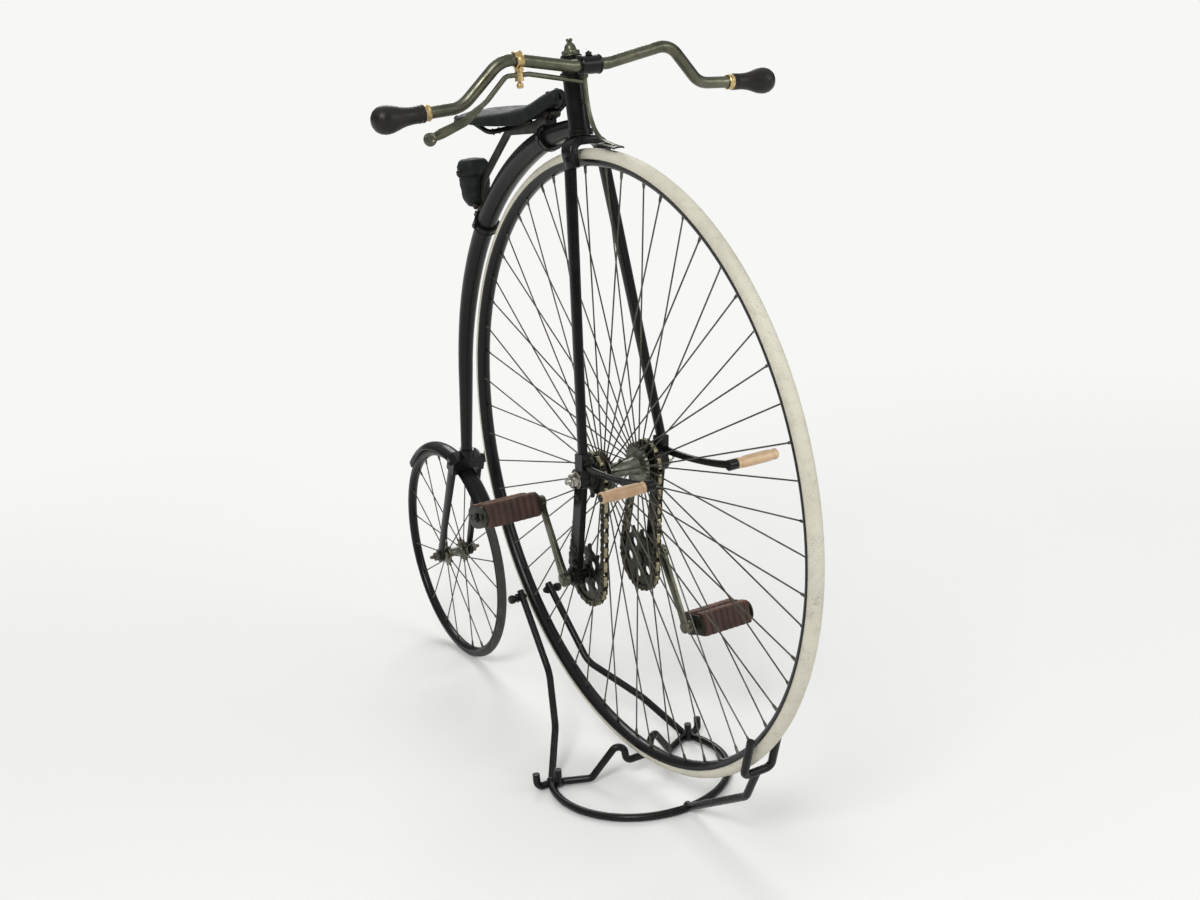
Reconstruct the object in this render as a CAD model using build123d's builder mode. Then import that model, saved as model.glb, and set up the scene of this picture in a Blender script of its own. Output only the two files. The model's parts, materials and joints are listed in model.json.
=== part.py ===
from build123d import *
from math import asin, cos, hypot, pi, radians, sin, sqrt
import os

os.makedirs("parts", exist_ok=True)

# A low bicycle of the ordinary type, driven by a chain on each side of its large front wheel,
# held upright by that wheel in a wrought floor stand.
# Millimetres. X points forward, Y to the bicycle's left, Z up, and the floor is Z = 0.

# Clearances
seat = 0.02  # between pieces of one body that bear on each other
running = 0.06  # radial play of a shaft in its bearing

# Wheels
front_diameter = 966.0  # over the tyre
front_section = 22.0  # tyre's thickness
front_lift = 45.0  # front tyre above the floor, as the stand holds it
front_spoke_count = 56
rear_diameter = 429.0
rear_section = 16.0
rear_spoke_count = 20
wheelbase = 688.0
spoke_diameter = 2.4
rim_wall = 3.6  # front rim's thickness behind the middle of the tyre
rear_rim_wall = 3.0
tyre_wrap = 0.35  # how far the rim's edges reach round the tyre, in tyre thicknesses

# Front hub and its fixed axle
hub_barrel_diameter = 27.0
hub_flange_diameter = 62.0
hub_flange_spacing = 62.0
hub_flange_thickness = 5.0
spoke_sink = 1.5  # spoke's end inside the rim and from the flange's face
spoke_edge = 5.0  # spoke's root inside the flange's edge
spoke_splay = 2.0  # spoke's outer end from the wheel's middle
hub_length = 120.0
axle_diameter = 14.0
axle_stub_diameter = 9.0  # free end outside each nut
axle_stub_length = 9.0
nut_across_flats = 21.0
nut_thickness = 10.0

# Rear hub and its fixed axle
rear_hub_length = 50.0
rear_hub_diameter = 20.0
rear_flange_diameter = 42.0
rear_flange_spacing = 36.0
rear_flange_thickness = 4.0
rear_axle_diameter = 10.0
rear_nut_across_flats = 16.0
rear_nut_thickness = 9.0
rear_stub_diameter = 7.0
rear_stub_length = 9.0

# Fork and head
rake = 4.0  # steering axis leans back from the vertical, degrees
steerer_diameter = 24.0
crown_gap = 6.0  # crown above the tyre
crown_thickness = 12.0
crown_length = 37.0  # along the bicycle
crown_ahead = 4.5  # crown's middle ahead of the steering axis
crown_round = 6.0
blade_spread_top = 55.0  # between the two blades' centres at the crown
blade_spread_bottom = 139.0
blade_top = (26.0, 15.0)  # section's length and width at the crown
blade_bottom = (20.0, 13.0)
blade_ahead_top = 9.0  # blade's middle ahead of the steering axis
blade_ahead_bottom = 14.0
blade_top_drop = 21.0  # crown's underside down to the blades' tops
fork_end_width = 16.0
fork_end_diameter = 34.0
fork_end_socket = 24.0  # socket above the fork end's round boss
fork_socket_wall = 1.0
head_diameter = 32.0
head_cup_diameter = 38.0
head_cup_height = 9.0
head_length = 90.0
head_play = 0.5  # gap under and over the head tube
lug_height = 22.0
lug_arm = (18.0, 16.0)  # width and height of the arm from the head to the handlebar
cap_hexagon_radius = 13.0
cap_hexagon_height = 7.0
cap_dome_diameter = 18.0
cap_height = 20.0
cap_knob_diameter = 9.0
cap_knob_height = 5.0

# Handlebar, half of it as (distance from the middle, height above the bar's middle, ahead)
bar_diameter = 18.0
bar_ahead = 8.0  # of the front axle
bar_middle_height = 97.5  # above the head tube's lower end
bar_sleeve_diameter = 26.0
bar_sleeve_length = 30.0
bar_bend_radius = 40.0
bar_rise = (130.0, 23.0)  # top of the rise
bar_drop = (190.0, -41.0, -10.0)  # foot of the drop
bar_end = (330.0, -48.0, -6.0)  # end of the grip
bar_end_cover = 4.0  # grip's closed end
ferrule_diameter = 23.0
ferrule_length = 9.0
grip_length = 88.0
grip_neck_diameter = 24.0
grip_knob_diameter = 39.0

# Brake
lever_diameter = 8.0
lever_tip_diameter = 19.0
lever_tip_thickness = 6.0
lever_bend_radius = 12.0
lever_points = (  # distance out, height above the bar's middle
    (252.0, -79.0),
    (200.0, -66.0),
    (163.0, -38.0),
    (128.0, -5.0),
    (98.0, -5.0),
)
lever_root_drop = 22.0  # lever's inner end below the bar's middle
lever_root_gap = 1.0  # lever's inner end to the spring strip
clip_place = 113.0  # from the bicycle's middle
clip_length = 11.0
clip_wall = 3.0
clip_tab = 12.0  # width of the clip's tab round the lever
clip_peg_diameter = 8.0
clip_peg_length = 9.0
spoon_gap = 5.5  # over the tyre
spoon_thickness = 3.0
spoon_strip_width = 8.0
spoon_strip_ahead = -9.0  # strip's upper end from the axle
spoon_knee_height = 0.62  # knee's part of the strip's height over the tyre
spoon_bow_height = 0.18
spoon_bow_ahead = 20.0
spoon_bend_radius = 20.0
spoon_width = 22.0
spoon_angles = (3.0, 7.0, 11.0)  # ahead of straight above the axle

# Drive: one sprocket on each hub end, a lower one with a crank, a chain round both
chain_pitch = 25.4
upper_teeth = 8
lower_teeth = 12
chain_links = 24
drive_lean = 15.5  # lower axle lies back from straight below, degrees
chain_line = 48.0  # sprockets' middle from the wheel's middle
tooth_thickness = 5.0
chain_inside = 6.6  # between the side plates
plate_thickness = 1.6
plate_height = 13.0
block_diameter = 10.0
tooth_height = 5.0
plate_end_height = 5.2
plate_end = 5.5  # plate past its pin
plate_shoulder = 1.5
block_room = 1.5  # between a block and the circle of the teeth's tips
crank_length = 127.0
crank_angle = 116.0  # right crank from straight ahead, upwards
crank_thickness = 11.0
crank_eye_diameter = 24.0
crank_tip_diameter = 20.0
crank_width = 16.0
crank_taper = 1.2  # degrees a side
sprocket_hole_diameter = 16.0
sprocket_hole_count = 5
crank_gap = 7.0  # between crank and bracket
crank_axle_diameter = 15.0
bracket_boss_diameter = 30.0
bracket_web = 10.0
bracket_web_height = 22.0

# Pedals
pedal_length = 98.0
pedal_depth = 64.0  # fore and aft
pedal_height = 38.0
pedal_plate_rise = 4.0  # rubber over the plate's height
pedal_corner = 5.0
pedal_plate = 4.0
pedal_gap = 8.0  # between crank and pedal
pedal_spindle_diameter = 10.0
pedal_sleeve_diameter = 17.0
pedal_rubber_diameter = 25.0
pedal_tilt = 14.0  # right pedal's top leans back, degrees

# Footrests for riding with the feet off the pedals
rest_reach = 197.0  # ahead of the axle
rest_height = 32.0  # above the axle
rest_root_height = 21.0
rest_arm = (11.0, 6.0)  # arm's depth and width
rest_arm_bow = 5.0
rest_boss_diameter = 16.0
rest_boss_length = 14.0
rest_spindle_diameter = 8.0
peg_length = 72.0
peg_diameter = 17.5
peg_cover = 5.0  # wood over the spindle's end

# Backbone
neck_distance = 12.5  # backbone's middle above the head tube's lower end
bend_gap = 58.6  # tyre to the backbone's middle, where the straight foot starts
bend_angle = 171.1  # of that place, from straight ahead, upwards
backbone_foot_angle = 13.0  # straight foot from the vertical, degrees
backbone_foot_length = 178.0
backbone_sections = (  # part of the curve's length from the head, tube's diameter
    (0.0, 25.0),
    (0.12, 32.0),
    (0.25, 36.5),
    (0.45, 35.0),
    (0.65, 32.0),
    (0.85, 29.0),
    (1.0, 26.5),
)
backbone_foot_diameter = 20.5
foot_sunk = 8.0  # foot's end inside the rear crown's socket

# Rear fork and mudguard
rear_crown_length = 27.0
rear_crown_shoulder = 9.0
rear_crown_cheek = 8.0  # cheek below the crown's underside
rear_blade_spread_top = 54.0
rear_blade_spread_bottom = 62.0
rear_blade_top = (26.0, 11.0)
rear_blade_bottom = (20.0, 7.5)
rear_end_diameter = 26.0
rear_end_width = 8.0
rear_socket_diameter = 27.0
rear_socket_height = 12.0
guard_gap = -4.0  # mudguard's edge outside the tyre's outer circle
guard_thickness = 2.0
guard_width = 33.0
guard_crown = 11.0  # rise of its rounded section
guard_front_angle = 36.0  # from straight ahead, upwards
guard_rear_angle = 141.0
guard_point = 46.0  # length of its pointed rear tip
step_reach = 46.0  # mounting step, from the bicycle's middle
step_tongue = (16.0, 7.0)
step_lip = (20.0, 17.0)
step_thickness = 4.0
step_corner = 2.0

# Saddle, as (ahead of the front axle, top above the head tube's lower end, half width, depth)
saddle_sections = (
    (-354.0, 35.0, 34.0, 11.0),
    (-325.0, 41.0, 68.0, 15.0),
    (-280.0, 43.5, 79.0, 17.0),
    (-225.0, 42.0, 66.0, 22.0),
    (-170.0, 46.0, 34.0, 27.0),
    (-125.0, 60.0, 20.0, 27.0),
    (-88.0, 67.0, 14.0, 22.0),
)
saddle_leaf = (15.0, 5.0)  # leaf spring's width and thickness
saddle_leaf_route = (  # ahead of the front axle, above the head tube's lower end
    (-118.0, 30.0),
    (-172.0, 13.5),
    (-258.0, 10.0),
)
saddle_leaf_end_over = 70.0  # last bend over the backbone's middle
saddle_leaf_end_ahead = 2.0  # last bend ahead of the rear clip
saddle_leaf_foot_out = 26.0  # leaf's end from the backbone's middle
saddle_leaf_bend = 24.0
saddle_strut_diameter = 8.0
saddle_strut_points = ((-4.0, 0.0, 0.0), (-10.0, 34.0, -4.0), (-34.0, 52.0, 15.0))
saddle_strut_bend = 8.0
saddle_clip_width = 11.0  # bands round the backbone
saddle_clip_wall = 2.5
saddle_post = (14.0, 19.0)  # bracket's length and width
front_clip_back = 128.0  # behind the front axle
rear_clip_back = 386.0

# Tool bag behind the backbone
bag_size = (50.0, 44.0, 78.0)  # width, depth and height
bag_place = (-408.0, 0.0, -80.0)  # its middle: ahead of the front axle, left, above the head's foot
bag_corner = 14.0
bag_round = 9.0
bag_taper = 6.0  # degrees, narrower downwards

# Stand of round bar
stand_bar = 12.0
stand_ring_radius = 145.0
stand_ring_back = 22.0  # ring's middle behind the axle
stand_foot_back = 84.0
stand_room = 5.0  # between the stand and the turning wheel
stand_hook = (26.0, 24.0)  # hook at each foot: its width and the prong's height
stand_yoke_radius = 458.0  # axle to the two clamp screws beside the rim
stand_yoke_angle = 41.3  # screws below the wheel's rear, degrees
stand_yoke_width = 56.0  # between the uprights' tops
stand_screw_diameter = 10.0
stand_screw_reach = 24.0  # screw outside its upright
stand_upright_run = ((0.4, 0.1, -108.0), (0.78, 0.56, -156.0))  # part along, part out, below the top
stand_upright_bend = 55.0
stand_cradle_bend = 11.0
stand_cradle_ahead = -22.0
stand_cradle_rise = 32.0  # cradle's shoulders above the tyre's lowest point
stand_rest_angle = 43.3  # front rest's prongs below the wheel's front, degrees
stand_rest_radius = 464.0
stand_rest_low_angle = 50.5  # rest's bend under the tyre
stand_rest_bend = 10.0
stand_stem_angle = 57.0
stand_stem_bend = 24.0

# Derived places
front_radius = front_diameter / 2
rear_radius = rear_diameter / 2
front_x = (wheelbase + rear_radius - front_radius) / 2
front_z = front_radius + front_lift
rear_x = front_x - wheelbase
rear_z = rear_radius

front_axle = Vector(front_x, 0, front_z)
rear_axle = Vector(rear_x, 0, rear_z)
front_axis = Axis((front_x, 0, front_z), (0, 1, 0))
rear_axis = Axis((rear_x, 0, rear_z), (0, 1, 0))

# Steering frame: its Z runs up the steering axis, its origin is the front axle
steer = Plane(
    origin=(front_x, 0, front_z),
    x_dir=(cos(radians(rake)), 0, sin(radians(rake))),
    z_dir=(-sin(radians(rake)), 0, cos(radians(rake))),
)
steer_side = Plane(origin=steer.origin, x_dir=(0, 1, 0), z_dir=steer.x_dir)
crown_under = front_radius + crown_gap
crown_top = crown_under + crown_thickness
blade_high = crown_under - blade_top_drop
blade_low = fork_end_diameter / 2 + fork_end_socket
head_low = crown_top + head_play
head_high = head_low + head_length
lug_low = head_high + head_play
lug_high = lug_low + lug_height
head_level = front_z + head_low  # level that the handlebar and the saddle are measured from
bar_level = head_level + bar_middle_height

fork_end_middle = blade_spread_bottom / 2
fork_end_out = fork_end_middle + fork_end_width / 2
fork_end_in = fork_end_middle - fork_end_width / 2

upper_pitch_radius = chain_pitch / 2 / sin(pi / upper_teeth)
lower_pitch_radius = chain_pitch / 2 / sin(pi / lower_teeth)


def chain_distance(links):
    """Distance between the sprockets' middles that a chain of this many links fits tightly."""
    low = lower_pitch_radius + upper_pitch_radius
    high = links * chain_pitch
    for _ in range(60):
        middle = (low + high) / 2
        lean = asin((lower_pitch_radius - upper_pitch_radius) / middle)
        straight = 2 * middle * cos(lean)
        wrap = upper_pitch_radius * (pi - 2 * lean) + lower_pitch_radius * (pi + 2 * lean)
        if straight + wrap < links * chain_pitch:
            low = middle
        else:
            high = middle
    return middle


drive_distance = chain_distance(chain_links)
crank_axle = front_axle + Vector(
    -drive_distance * sin(radians(drive_lean)), 0, -drive_distance * cos(radians(drive_lean))
)
crank_in = fork_end_out + crank_gap
crank_out = crank_in + crank_thickness
pedal_in = crank_out + pedal_gap
pedal_out = pedal_in + pedal_length


def side_plane(centre, y):
    """Plane across the bicycle at y, whose normal points to the left side (+Y)."""
    return Plane(origin=(centre.X, y, centre.Z), x_dir=(-1, 0, 0), z_dir=(0, 1, 0))


def barrel(centre, near, far, diameter):
    """A cylinder along Y from near to far."""
    with BuildSketch(side_plane(centre, near)) as outline:
        Circle(diameter / 2)
    extrude(outline.sketch, amount=far - near)


def hexagon(centre, near, far, across_flats):
    """A nut along Y from near to far."""
    with BuildSketch(side_plane(centre, near)) as outline:
        RegularPolygon(across_flats / 2, 6, major_radius=False)
    extrude(outline.sketch, amount=far - near)


def bore(centre, near, far, diameter):
    """A hole along Y from near to far."""
    with BuildSketch(side_plane(centre, near)) as outline:
        Circle(diameter / 2)
    extrude(outline.sketch, amount=far - near, mode=Mode.SUBTRACT)


def label_and_write(piece, name):
    """Names a finished piece and writes its file."""
    piece.part.label = name
    export_step(piece.part, "parts/" + name + ".step")


def ring_section(centre):
    """Plane through a wheel's axle: local X is the radius, local Y runs along the axle."""
    return Plane(origin=(centre.X, 0, centre.Z), x_dir=(1, 0, 0), z_dir=(0, 0, 1))


def tyre(centre, axis, radius, section):
    """Solid rubber tyre: a round cord."""
    with BuildSketch(ring_section(centre)) as outline:
        with Locations((radius - section / 2, 0)):
            Circle(section / 2)
    revolve(outline.sketch, axis=axis)


def rim(centre, axis, radius, section, wall):
    """Crescent rim that the tyre is cemented into."""
    middle = radius - section / 2
    with BuildSketch(ring_section(centre)) as outline:
        with Locations((middle - wall / 2, 0)):
            Circle(section / 2 + wall / 2)
        with Locations((middle, 0)):
            Circle(section / 2 + seat, mode=Mode.SUBTRACT)
        with Locations((middle - section * (0.5 - tyre_wrap) + section, 0)):
            Rectangle(2 * section, 3 * section, mode=Mode.SUBTRACT)
    revolve(outline.sketch, axis=axis)


def spokes(centre, count, hub_radius, hub_half, rim_radius, rim_half):
    """Direct spokes, from the two flanges in turn to the rim."""
    places = []
    for number in range(count):
        side = 1 if number % 2 else -1
        angle = radians(360 * (number + 0.5) / count)
        out = Vector(cos(angle), 0, sin(angle))
        start = centre + out * hub_radius + Vector(0, side * hub_half, 0)
        end = centre + out * rim_radius + Vector(0, side * rim_half, 0)
        places.append(Plane(origin=(start + end) * 0.5, z_dir=end - start).location)
    length = hypot(rim_radius - hub_radius, hub_half - rim_half)
    with Locations(*places):
        Cylinder(spoke_diameter / 2, length)


# Front wheel
with BuildPart() as front_tyre:
    tyre(front_axle, front_axis, front_radius, front_section)
label_and_write(front_tyre, "front_tyre")

with BuildPart() as front_rim:
    rim(front_axle, front_axis, front_radius, front_section, rim_wall)
label_and_write(front_rim, "front_rim")

front_rim_inside = front_radius - front_section - rim_wall
with BuildPart() as front_spokes:
    spokes(
        front_axle,
        front_spoke_count,
        hub_flange_diameter / 2 - spoke_edge,
        hub_flange_spacing / 2 - spoke_sink / 2,
        front_rim_inside + spoke_sink,
        spoke_splay,
    )
label_and_write(front_spokes, "front_spokes")

with BuildPart() as front_hub:
    barrel(front_axle, -hub_length / 2, hub_length / 2, hub_barrel_diameter)
    for side in (-1, 1):
        flange = side * hub_flange_spacing / 2
        barrel(
            front_axle,
            flange - hub_flange_thickness / 2,
            flange + hub_flange_thickness / 2,
            hub_flange_diameter,
        )
    bore(front_axle, -hub_length / 2, hub_length / 2, axle_diameter + 2 * running)
label_and_write(front_hub, "front_hub")


def sprocket_outline(teeth, pitch_radius):
    """Toothed disc whose teeth stand between a block chain's blocks."""
    tip_radius = pitch_radius + tooth_height
    root_radius = pitch_radius - block_diameter / 2
    Circle(root_radius)
    with PolarLocations(0, teeth):
        Polygon(
            (root_radius - 2, -chain_pitch * 0.27),
            (root_radius + 1, -chain_pitch * 0.24),
            (pitch_radius + 1, -chain_pitch * 0.17),
            (tip_radius, -chain_pitch * 0.07),
            (tip_radius, chain_pitch * 0.07),
            (pitch_radius + 1, chain_pitch * 0.17),
            (root_radius + 1, chain_pitch * 0.24),
            (root_radius - 2, chain_pitch * 0.27),
            align=None,
        )


def tooth_plane(centre, y, first):
    """Side plane turned so that a tooth stands at the angle first, measured from ahead upwards."""
    angle = radians(first)
    return Plane(
        origin=(centre.X, y, centre.Z),
        x_dir=(cos(angle), 0, sin(angle)),
        z_dir=(0, 1, 0),
    )


with BuildPart() as hub_sprockets:
    for side in (-1, 1):
        middle = side * chain_line
        with BuildSketch(tooth_plane(front_axle, middle - tooth_thickness / 2, 90)):
            sprocket_outline(upper_teeth, upper_pitch_radius)
            Circle(hub_barrel_diameter / 2 + seat, mode=Mode.SUBTRACT)
        extrude(amount=tooth_thickness)
label_and_write(hub_sprockets, "hub_sprockets")

# Fork
crown_cheek = (crown_top - blade_high) / 2
crown_shoulder = blade_high + crown_cheek * 0.72
with BuildPart() as fork_crown:
    half = blade_spread_top / 2
    wide = half + blade_top[1] / 2 + fork_socket_wall
    narrow = half - blade_top[1] / 2 - fork_socket_wall
    shoulder = half - crown_round
    with BuildSketch(steer_side.offset(crown_ahead)):
        with BuildLine():
            ThreePointArc(
                (-narrow, blade_high + crown_round),
                (0, crown_under),
                (narrow, blade_high + crown_round),
            )
            Line((narrow, blade_high + crown_round), (narrow, blade_high))
            Line((narrow, blade_high), (wide, blade_high))
            Line((wide, blade_high), (wide, crown_shoulder))
            ThreePointArc(
                (wide, crown_shoulder),
                (wide - crown_round, crown_top - crown_round - 1),
                (shoulder, crown_top),
            )
            Line((shoulder, crown_top), (-shoulder, crown_top))
            ThreePointArc(
                (-shoulder, crown_top),
                (crown_round - wide, crown_top - crown_round - 1),
                (-wide, crown_shoulder),
            )
            Line((-wide, crown_shoulder), (-wide, blade_high))
            Line((-wide, blade_high), (-narrow, blade_high))
            Line((-narrow, blade_high), (-narrow, blade_high + crown_round))
        make_face()
    extrude(amount=crown_length / 2, both=True)
    with BuildSketch(steer.offset(crown_top - 1)):
        Circle(steerer_diameter / 2)
    extrude(amount=lug_high + 1 - crown_top)
label_and_write(fork_crown, "fork_crown")

with BuildPart() as fork_blades:
    for side in (-1, 1):
        for level, spread, ahead, section in (
            (blade_low, blade_spread_bottom, blade_ahead_bottom, blade_bottom),
            (blade_high, blade_spread_top, blade_ahead_top, blade_top),
        ):
            with BuildSketch(steer.offset(level)):
                with Locations((ahead, side * spread / 2)):
                    Ellipse(section[0] / 2, section[1] / 2)
        loft()
label_and_write(fork_blades, "fork_blades")


def fork_socket(side, extra, mode):
    """Socket that carries a blade's lower end, forward of the round boss."""
    long = blade_bottom[0] + 2 * fork_socket_wall + 2 * extra
    wide = blade_bottom[1] + 2 * fork_socket_wall + 2 * extra
    rings = []
    for level, ahead in ((0.0, blade_ahead_bottom / 3), (blade_low, blade_ahead_bottom)):
        with BuildSketch(steer.offset(level)) as ring:
            with Locations((ahead, side * fork_end_middle)):
                Rectangle(long, wide)
        rings.append(ring.sketch)
    loft(rings, mode=mode)


with BuildPart() as drive_brackets:
    down = (crank_axle - front_axle).normalized()
    across = Vector(down.Z, 0, -down.X) * (bracket_web_height / 2)
    corners = (front_axle + across, crank_axle + across, crank_axle - across, front_axle - across)
    for side in (-1, 1):
        inner = fork_end_in if side > 0 else -fork_end_out
        outer = fork_end_out if side > 0 else -fork_end_in
        web_in = side * fork_end_middle - bracket_web / 2
        barrel(front_axle, inner, outer, fork_end_diameter)
        barrel(crank_axle, inner, outer, bracket_boss_diameter)
        with BuildSketch(Plane(origin=(0, web_in, 0), x_dir=(-1, 0, 0), z_dir=(0, 1, 0))):
            with BuildLine():
                Polyline(*[(-corner.X, corner.Z) for corner in corners], close=True)
            make_face()
        extrude(amount=bracket_web)
        fork_socket(side, 0.0, Mode.ADD)
    bore(front_axle, -fork_end_out, fork_end_out, axle_diameter + 2 * seat)
    bore(crank_axle, -fork_end_out, fork_end_out, crank_axle_diameter + 2 * running)
label_and_write(drive_brackets, "drive_brackets")

with BuildPart() as front_axle_bar:
    nut_out = fork_end_out + seat + nut_thickness
    barrel(front_axle, -nut_out, nut_out, axle_diameter)
    hexagon(front_axle, fork_end_out + seat, nut_out, nut_across_flats)
    hexagon(front_axle, -nut_out, -fork_end_out - seat, nut_across_flats)
    barrel(front_axle, -nut_out - axle_stub_length, nut_out + axle_stub_length, axle_stub_diameter)
label_and_write(front_axle_bar, "front_axle")

with BuildPart() as handlebar_lug:
    with BuildSketch(steer.offset(lug_low)):
        Circle(head_diameter / 2)
    extrude(amount=lug_height)
    sleeve = Vector(front_x + bar_ahead, 0, bar_level)
    lug_middle = steer.from_local_coords(Vector(0, 0, (lug_low + lug_high) / 2))
    arm_run = sleeve.X - lug_middle.X
    with BuildSketch(Plane(origin=lug_middle, x_dir=(0, 1, 0), z_dir=(1, 0, 0))):
        Rectangle(*lug_arm)
    extrude(amount=arm_run)
    with BuildSketch(Plane(origin=(sleeve.X, 0, (sleeve.Z + lug_middle.Z) / 2))):
        Rectangle(lug_arm[1], lug_arm[0])
    extrude(amount=(abs(sleeve.Z - lug_middle.Z) + lug_arm[1]) / 2, both=True)
    barrel(sleeve, -bar_sleeve_length / 2, bar_sleeve_length / 2, bar_sleeve_diameter)
    bore(sleeve, -bar_sleeve_length / 2, bar_sleeve_length / 2, bar_diameter + 2 * seat)
    with BuildSketch(steer.offset(lug_low - lug_height)):
        Circle(steerer_diameter / 2 + seat)
    extrude(amount=2 * lug_height, mode=Mode.SUBTRACT)
label_and_write(handlebar_lug, "handlebar_lug")

with BuildPart() as head_cap:
    with BuildSketch(steer.offset(lug_high + seat)):
        RegularPolygon(cap_hexagon_radius, 6)
    extrude(amount=cap_hexagon_height)
    with BuildSketch(steer.offset(lug_high + cap_hexagon_height)):
        Circle(cap_dome_diameter / 2)
    extrude(amount=cap_height - cap_hexagon_height - 2, taper=18)
    with BuildSketch(steer.offset(lug_high + cap_height - 3)):
        Circle(cap_knob_diameter / 2)
    extrude(amount=cap_knob_height + 3)
    with BuildSketch(steer.offset(lug_high)):
        Circle(steerer_diameter / 2 + seat)
    extrude(amount=1 + seat, mode=Mode.SUBTRACT)
label_and_write(head_cap, "head_cap")

# Handlebar
bar_route = [
    Vector(front_x + bar_end[2], bar_end_cover - bar_end[0], bar_level + bar_end[1]),
    Vector(front_x + bar_drop[2], -bar_drop[0], bar_level + bar_drop[1]),
    Vector(front_x + bar_ahead, -bar_rise[0], bar_level + bar_rise[1]),
    Vector(front_x + bar_ahead, -bar_sleeve_length, bar_level),
]
bar_route += [Vector(point.X, -point.Y, point.Z) for point in reversed(bar_route)]
with BuildPart() as handlebar:
    with BuildLine() as bar_line:
        FilletPolyline(*bar_route, radius=bar_bend_radius)
    with BuildSketch(Plane(origin=bar_line.line @ 0, z_dir=bar_line.line % 0)):
        Circle(bar_diameter / 2)
    sweep(path=bar_line.line)
label_and_write(handlebar, "handlebar")

# Room that pieces on the handlebar leave for it
with BuildPart() as bar_room:
    with BuildSketch(Plane(origin=bar_line.line @ 0, z_dir=bar_line.line % 0)):
        Circle(bar_diameter / 2 + seat)
    sweep(path=bar_line.line)


def grip_plane(side):
    """Plane at the outer end of a grip, facing back along the handlebar."""
    end = Vector(front_x + bar_end[2], side * bar_end[0], bar_level + bar_end[1])
    foot = Vector(front_x + bar_drop[2], side * bar_drop[0], bar_level + bar_drop[1])
    return Plane(origin=end, x_dir=(1, 0, 0), z_dir=foot - end)


with BuildPart() as grips:
    neck = grip_neck_diameter / 2
    knob = grip_knob_diameter / 2
    with BuildLine(mode=Mode.PRIVATE) as grip_outline:
        Line((0, 0), (knob * 0.35, 0))
        ThreePointArc((knob * 0.35, 0), (knob * 0.88, knob * 0.4), (knob, knob * 0.95))
        ThreePointArc((knob, knob * 0.95), (knob * 0.86, knob * 1.75), (neck * 0.92, knob * 2.5))
        Line((neck * 0.92, knob * 2.5), (neck, grip_length))
        Line((neck, grip_length), (0, grip_length))
        Line((0, grip_length), (0, 0))
    for side in (-1, 1):
        end = grip_plane(side)
        with BuildSketch(Plane(origin=end.origin, x_dir=end.x_dir, z_dir=-end.y_dir)):
            add(make_face(grip_outline.line, mode=Mode.PRIVATE))
        revolve(axis=Axis(end.origin, end.z_dir))
    add(bar_room.part, mode=Mode.SUBTRACT)
label_and_write(grips, "grips")

with BuildPart() as grip_ferrules:
    for side in (-1, 1):
        end = grip_plane(side)
        with BuildSketch(end.offset(grip_length + seat)):
            Circle(ferrule_diameter / 2)
        extrude(amount=ferrule_length)
    add(bar_room.part, mode=Mode.SUBTRACT)
label_and_write(grip_ferrules, "grip_ferrules")

# Brake: a lever under the right grip, a clip on the bar and a spoon over the tyre
lever_route = [Vector(front_x + bar_ahead, -out, bar_level + high) for out, high in lever_points]
lever_route.append(
    Vector(
        front_x + spoon_strip_ahead,
        -spoon_strip_width / 2 - lever_root_gap,
        bar_level - lever_root_drop,
    )
)


def lever_rod(diameter):
    """Round rod along the brake lever's line."""
    with BuildLine() as run:
        FilletPolyline(*lever_route, radius=lever_bend_radius)
    with BuildSketch(Plane(origin=run.line @ 0, z_dir=run.line % 0)) as outline:
        Circle(diameter / 2)
    sweep(outline.sketch, path=run.line)


with BuildPart() as brake_lever:
    lever_rod(lever_diameter)
    with BuildSketch(Plane(origin=lever_route[0], z_dir=(1, 0, 0))):
        Circle(lever_tip_diameter / 2)
    extrude(amount=lever_tip_thickness / 2, both=True)
label_and_write(brake_lever, "brake_lever")

with BuildPart() as lever_room:
    lever_rod(lever_diameter + 2 * seat)


def place_along(line, reading):
    """Point and direction on a line where a reading that falls along it reaches zero."""
    low, high = 0.0, 1.0
    for _ in range(40):
        middle = (low + high) / 2
        if reading(line @ middle) > 0:
            low = middle
        else:
            high = middle
    return line @ middle, line % middle


with BuildPart() as brake_clip:
    clip_middle = place_along(bar_line.line, lambda point: -clip_place - point.Y)[0]
    lever_level = bar_level + lever_points[-1][1]
    clip_drop = clip_middle.Z - lever_level + lever_diameter / 2 + clip_wall
    barrel(
        clip_middle,
        -clip_place - clip_length / 2,
        -clip_place + clip_length / 2,
        bar_diameter + 2 * clip_wall,
    )
    with BuildSketch(side_plane(clip_middle, -clip_place - clip_length / 2)):
        with Locations((0, -clip_drop / 2)):
            Rectangle(clip_tab, clip_drop)
    extrude(amount=clip_length)
    with BuildSketch(Plane(origin=clip_middle + Vector(0, -clip_place - clip_middle.Y, -clip_drop))):
        Circle(clip_peg_diameter / 2)
    extrude(amount=clip_peg_length, both=True)
    add(bar_room.part, mode=Mode.SUBTRACT)
    add(lever_room.part, mode=Mode.SUBTRACT)
label_and_write(brake_clip, "brake_clip")


def over_tyre(height, ahead):
    """Point in the middle plane at this height over the front axle's circle, ahead in degrees."""
    angle = radians(ahead)
    return front_axle + Vector(height * sin(angle), 0, height * cos(angle))


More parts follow.
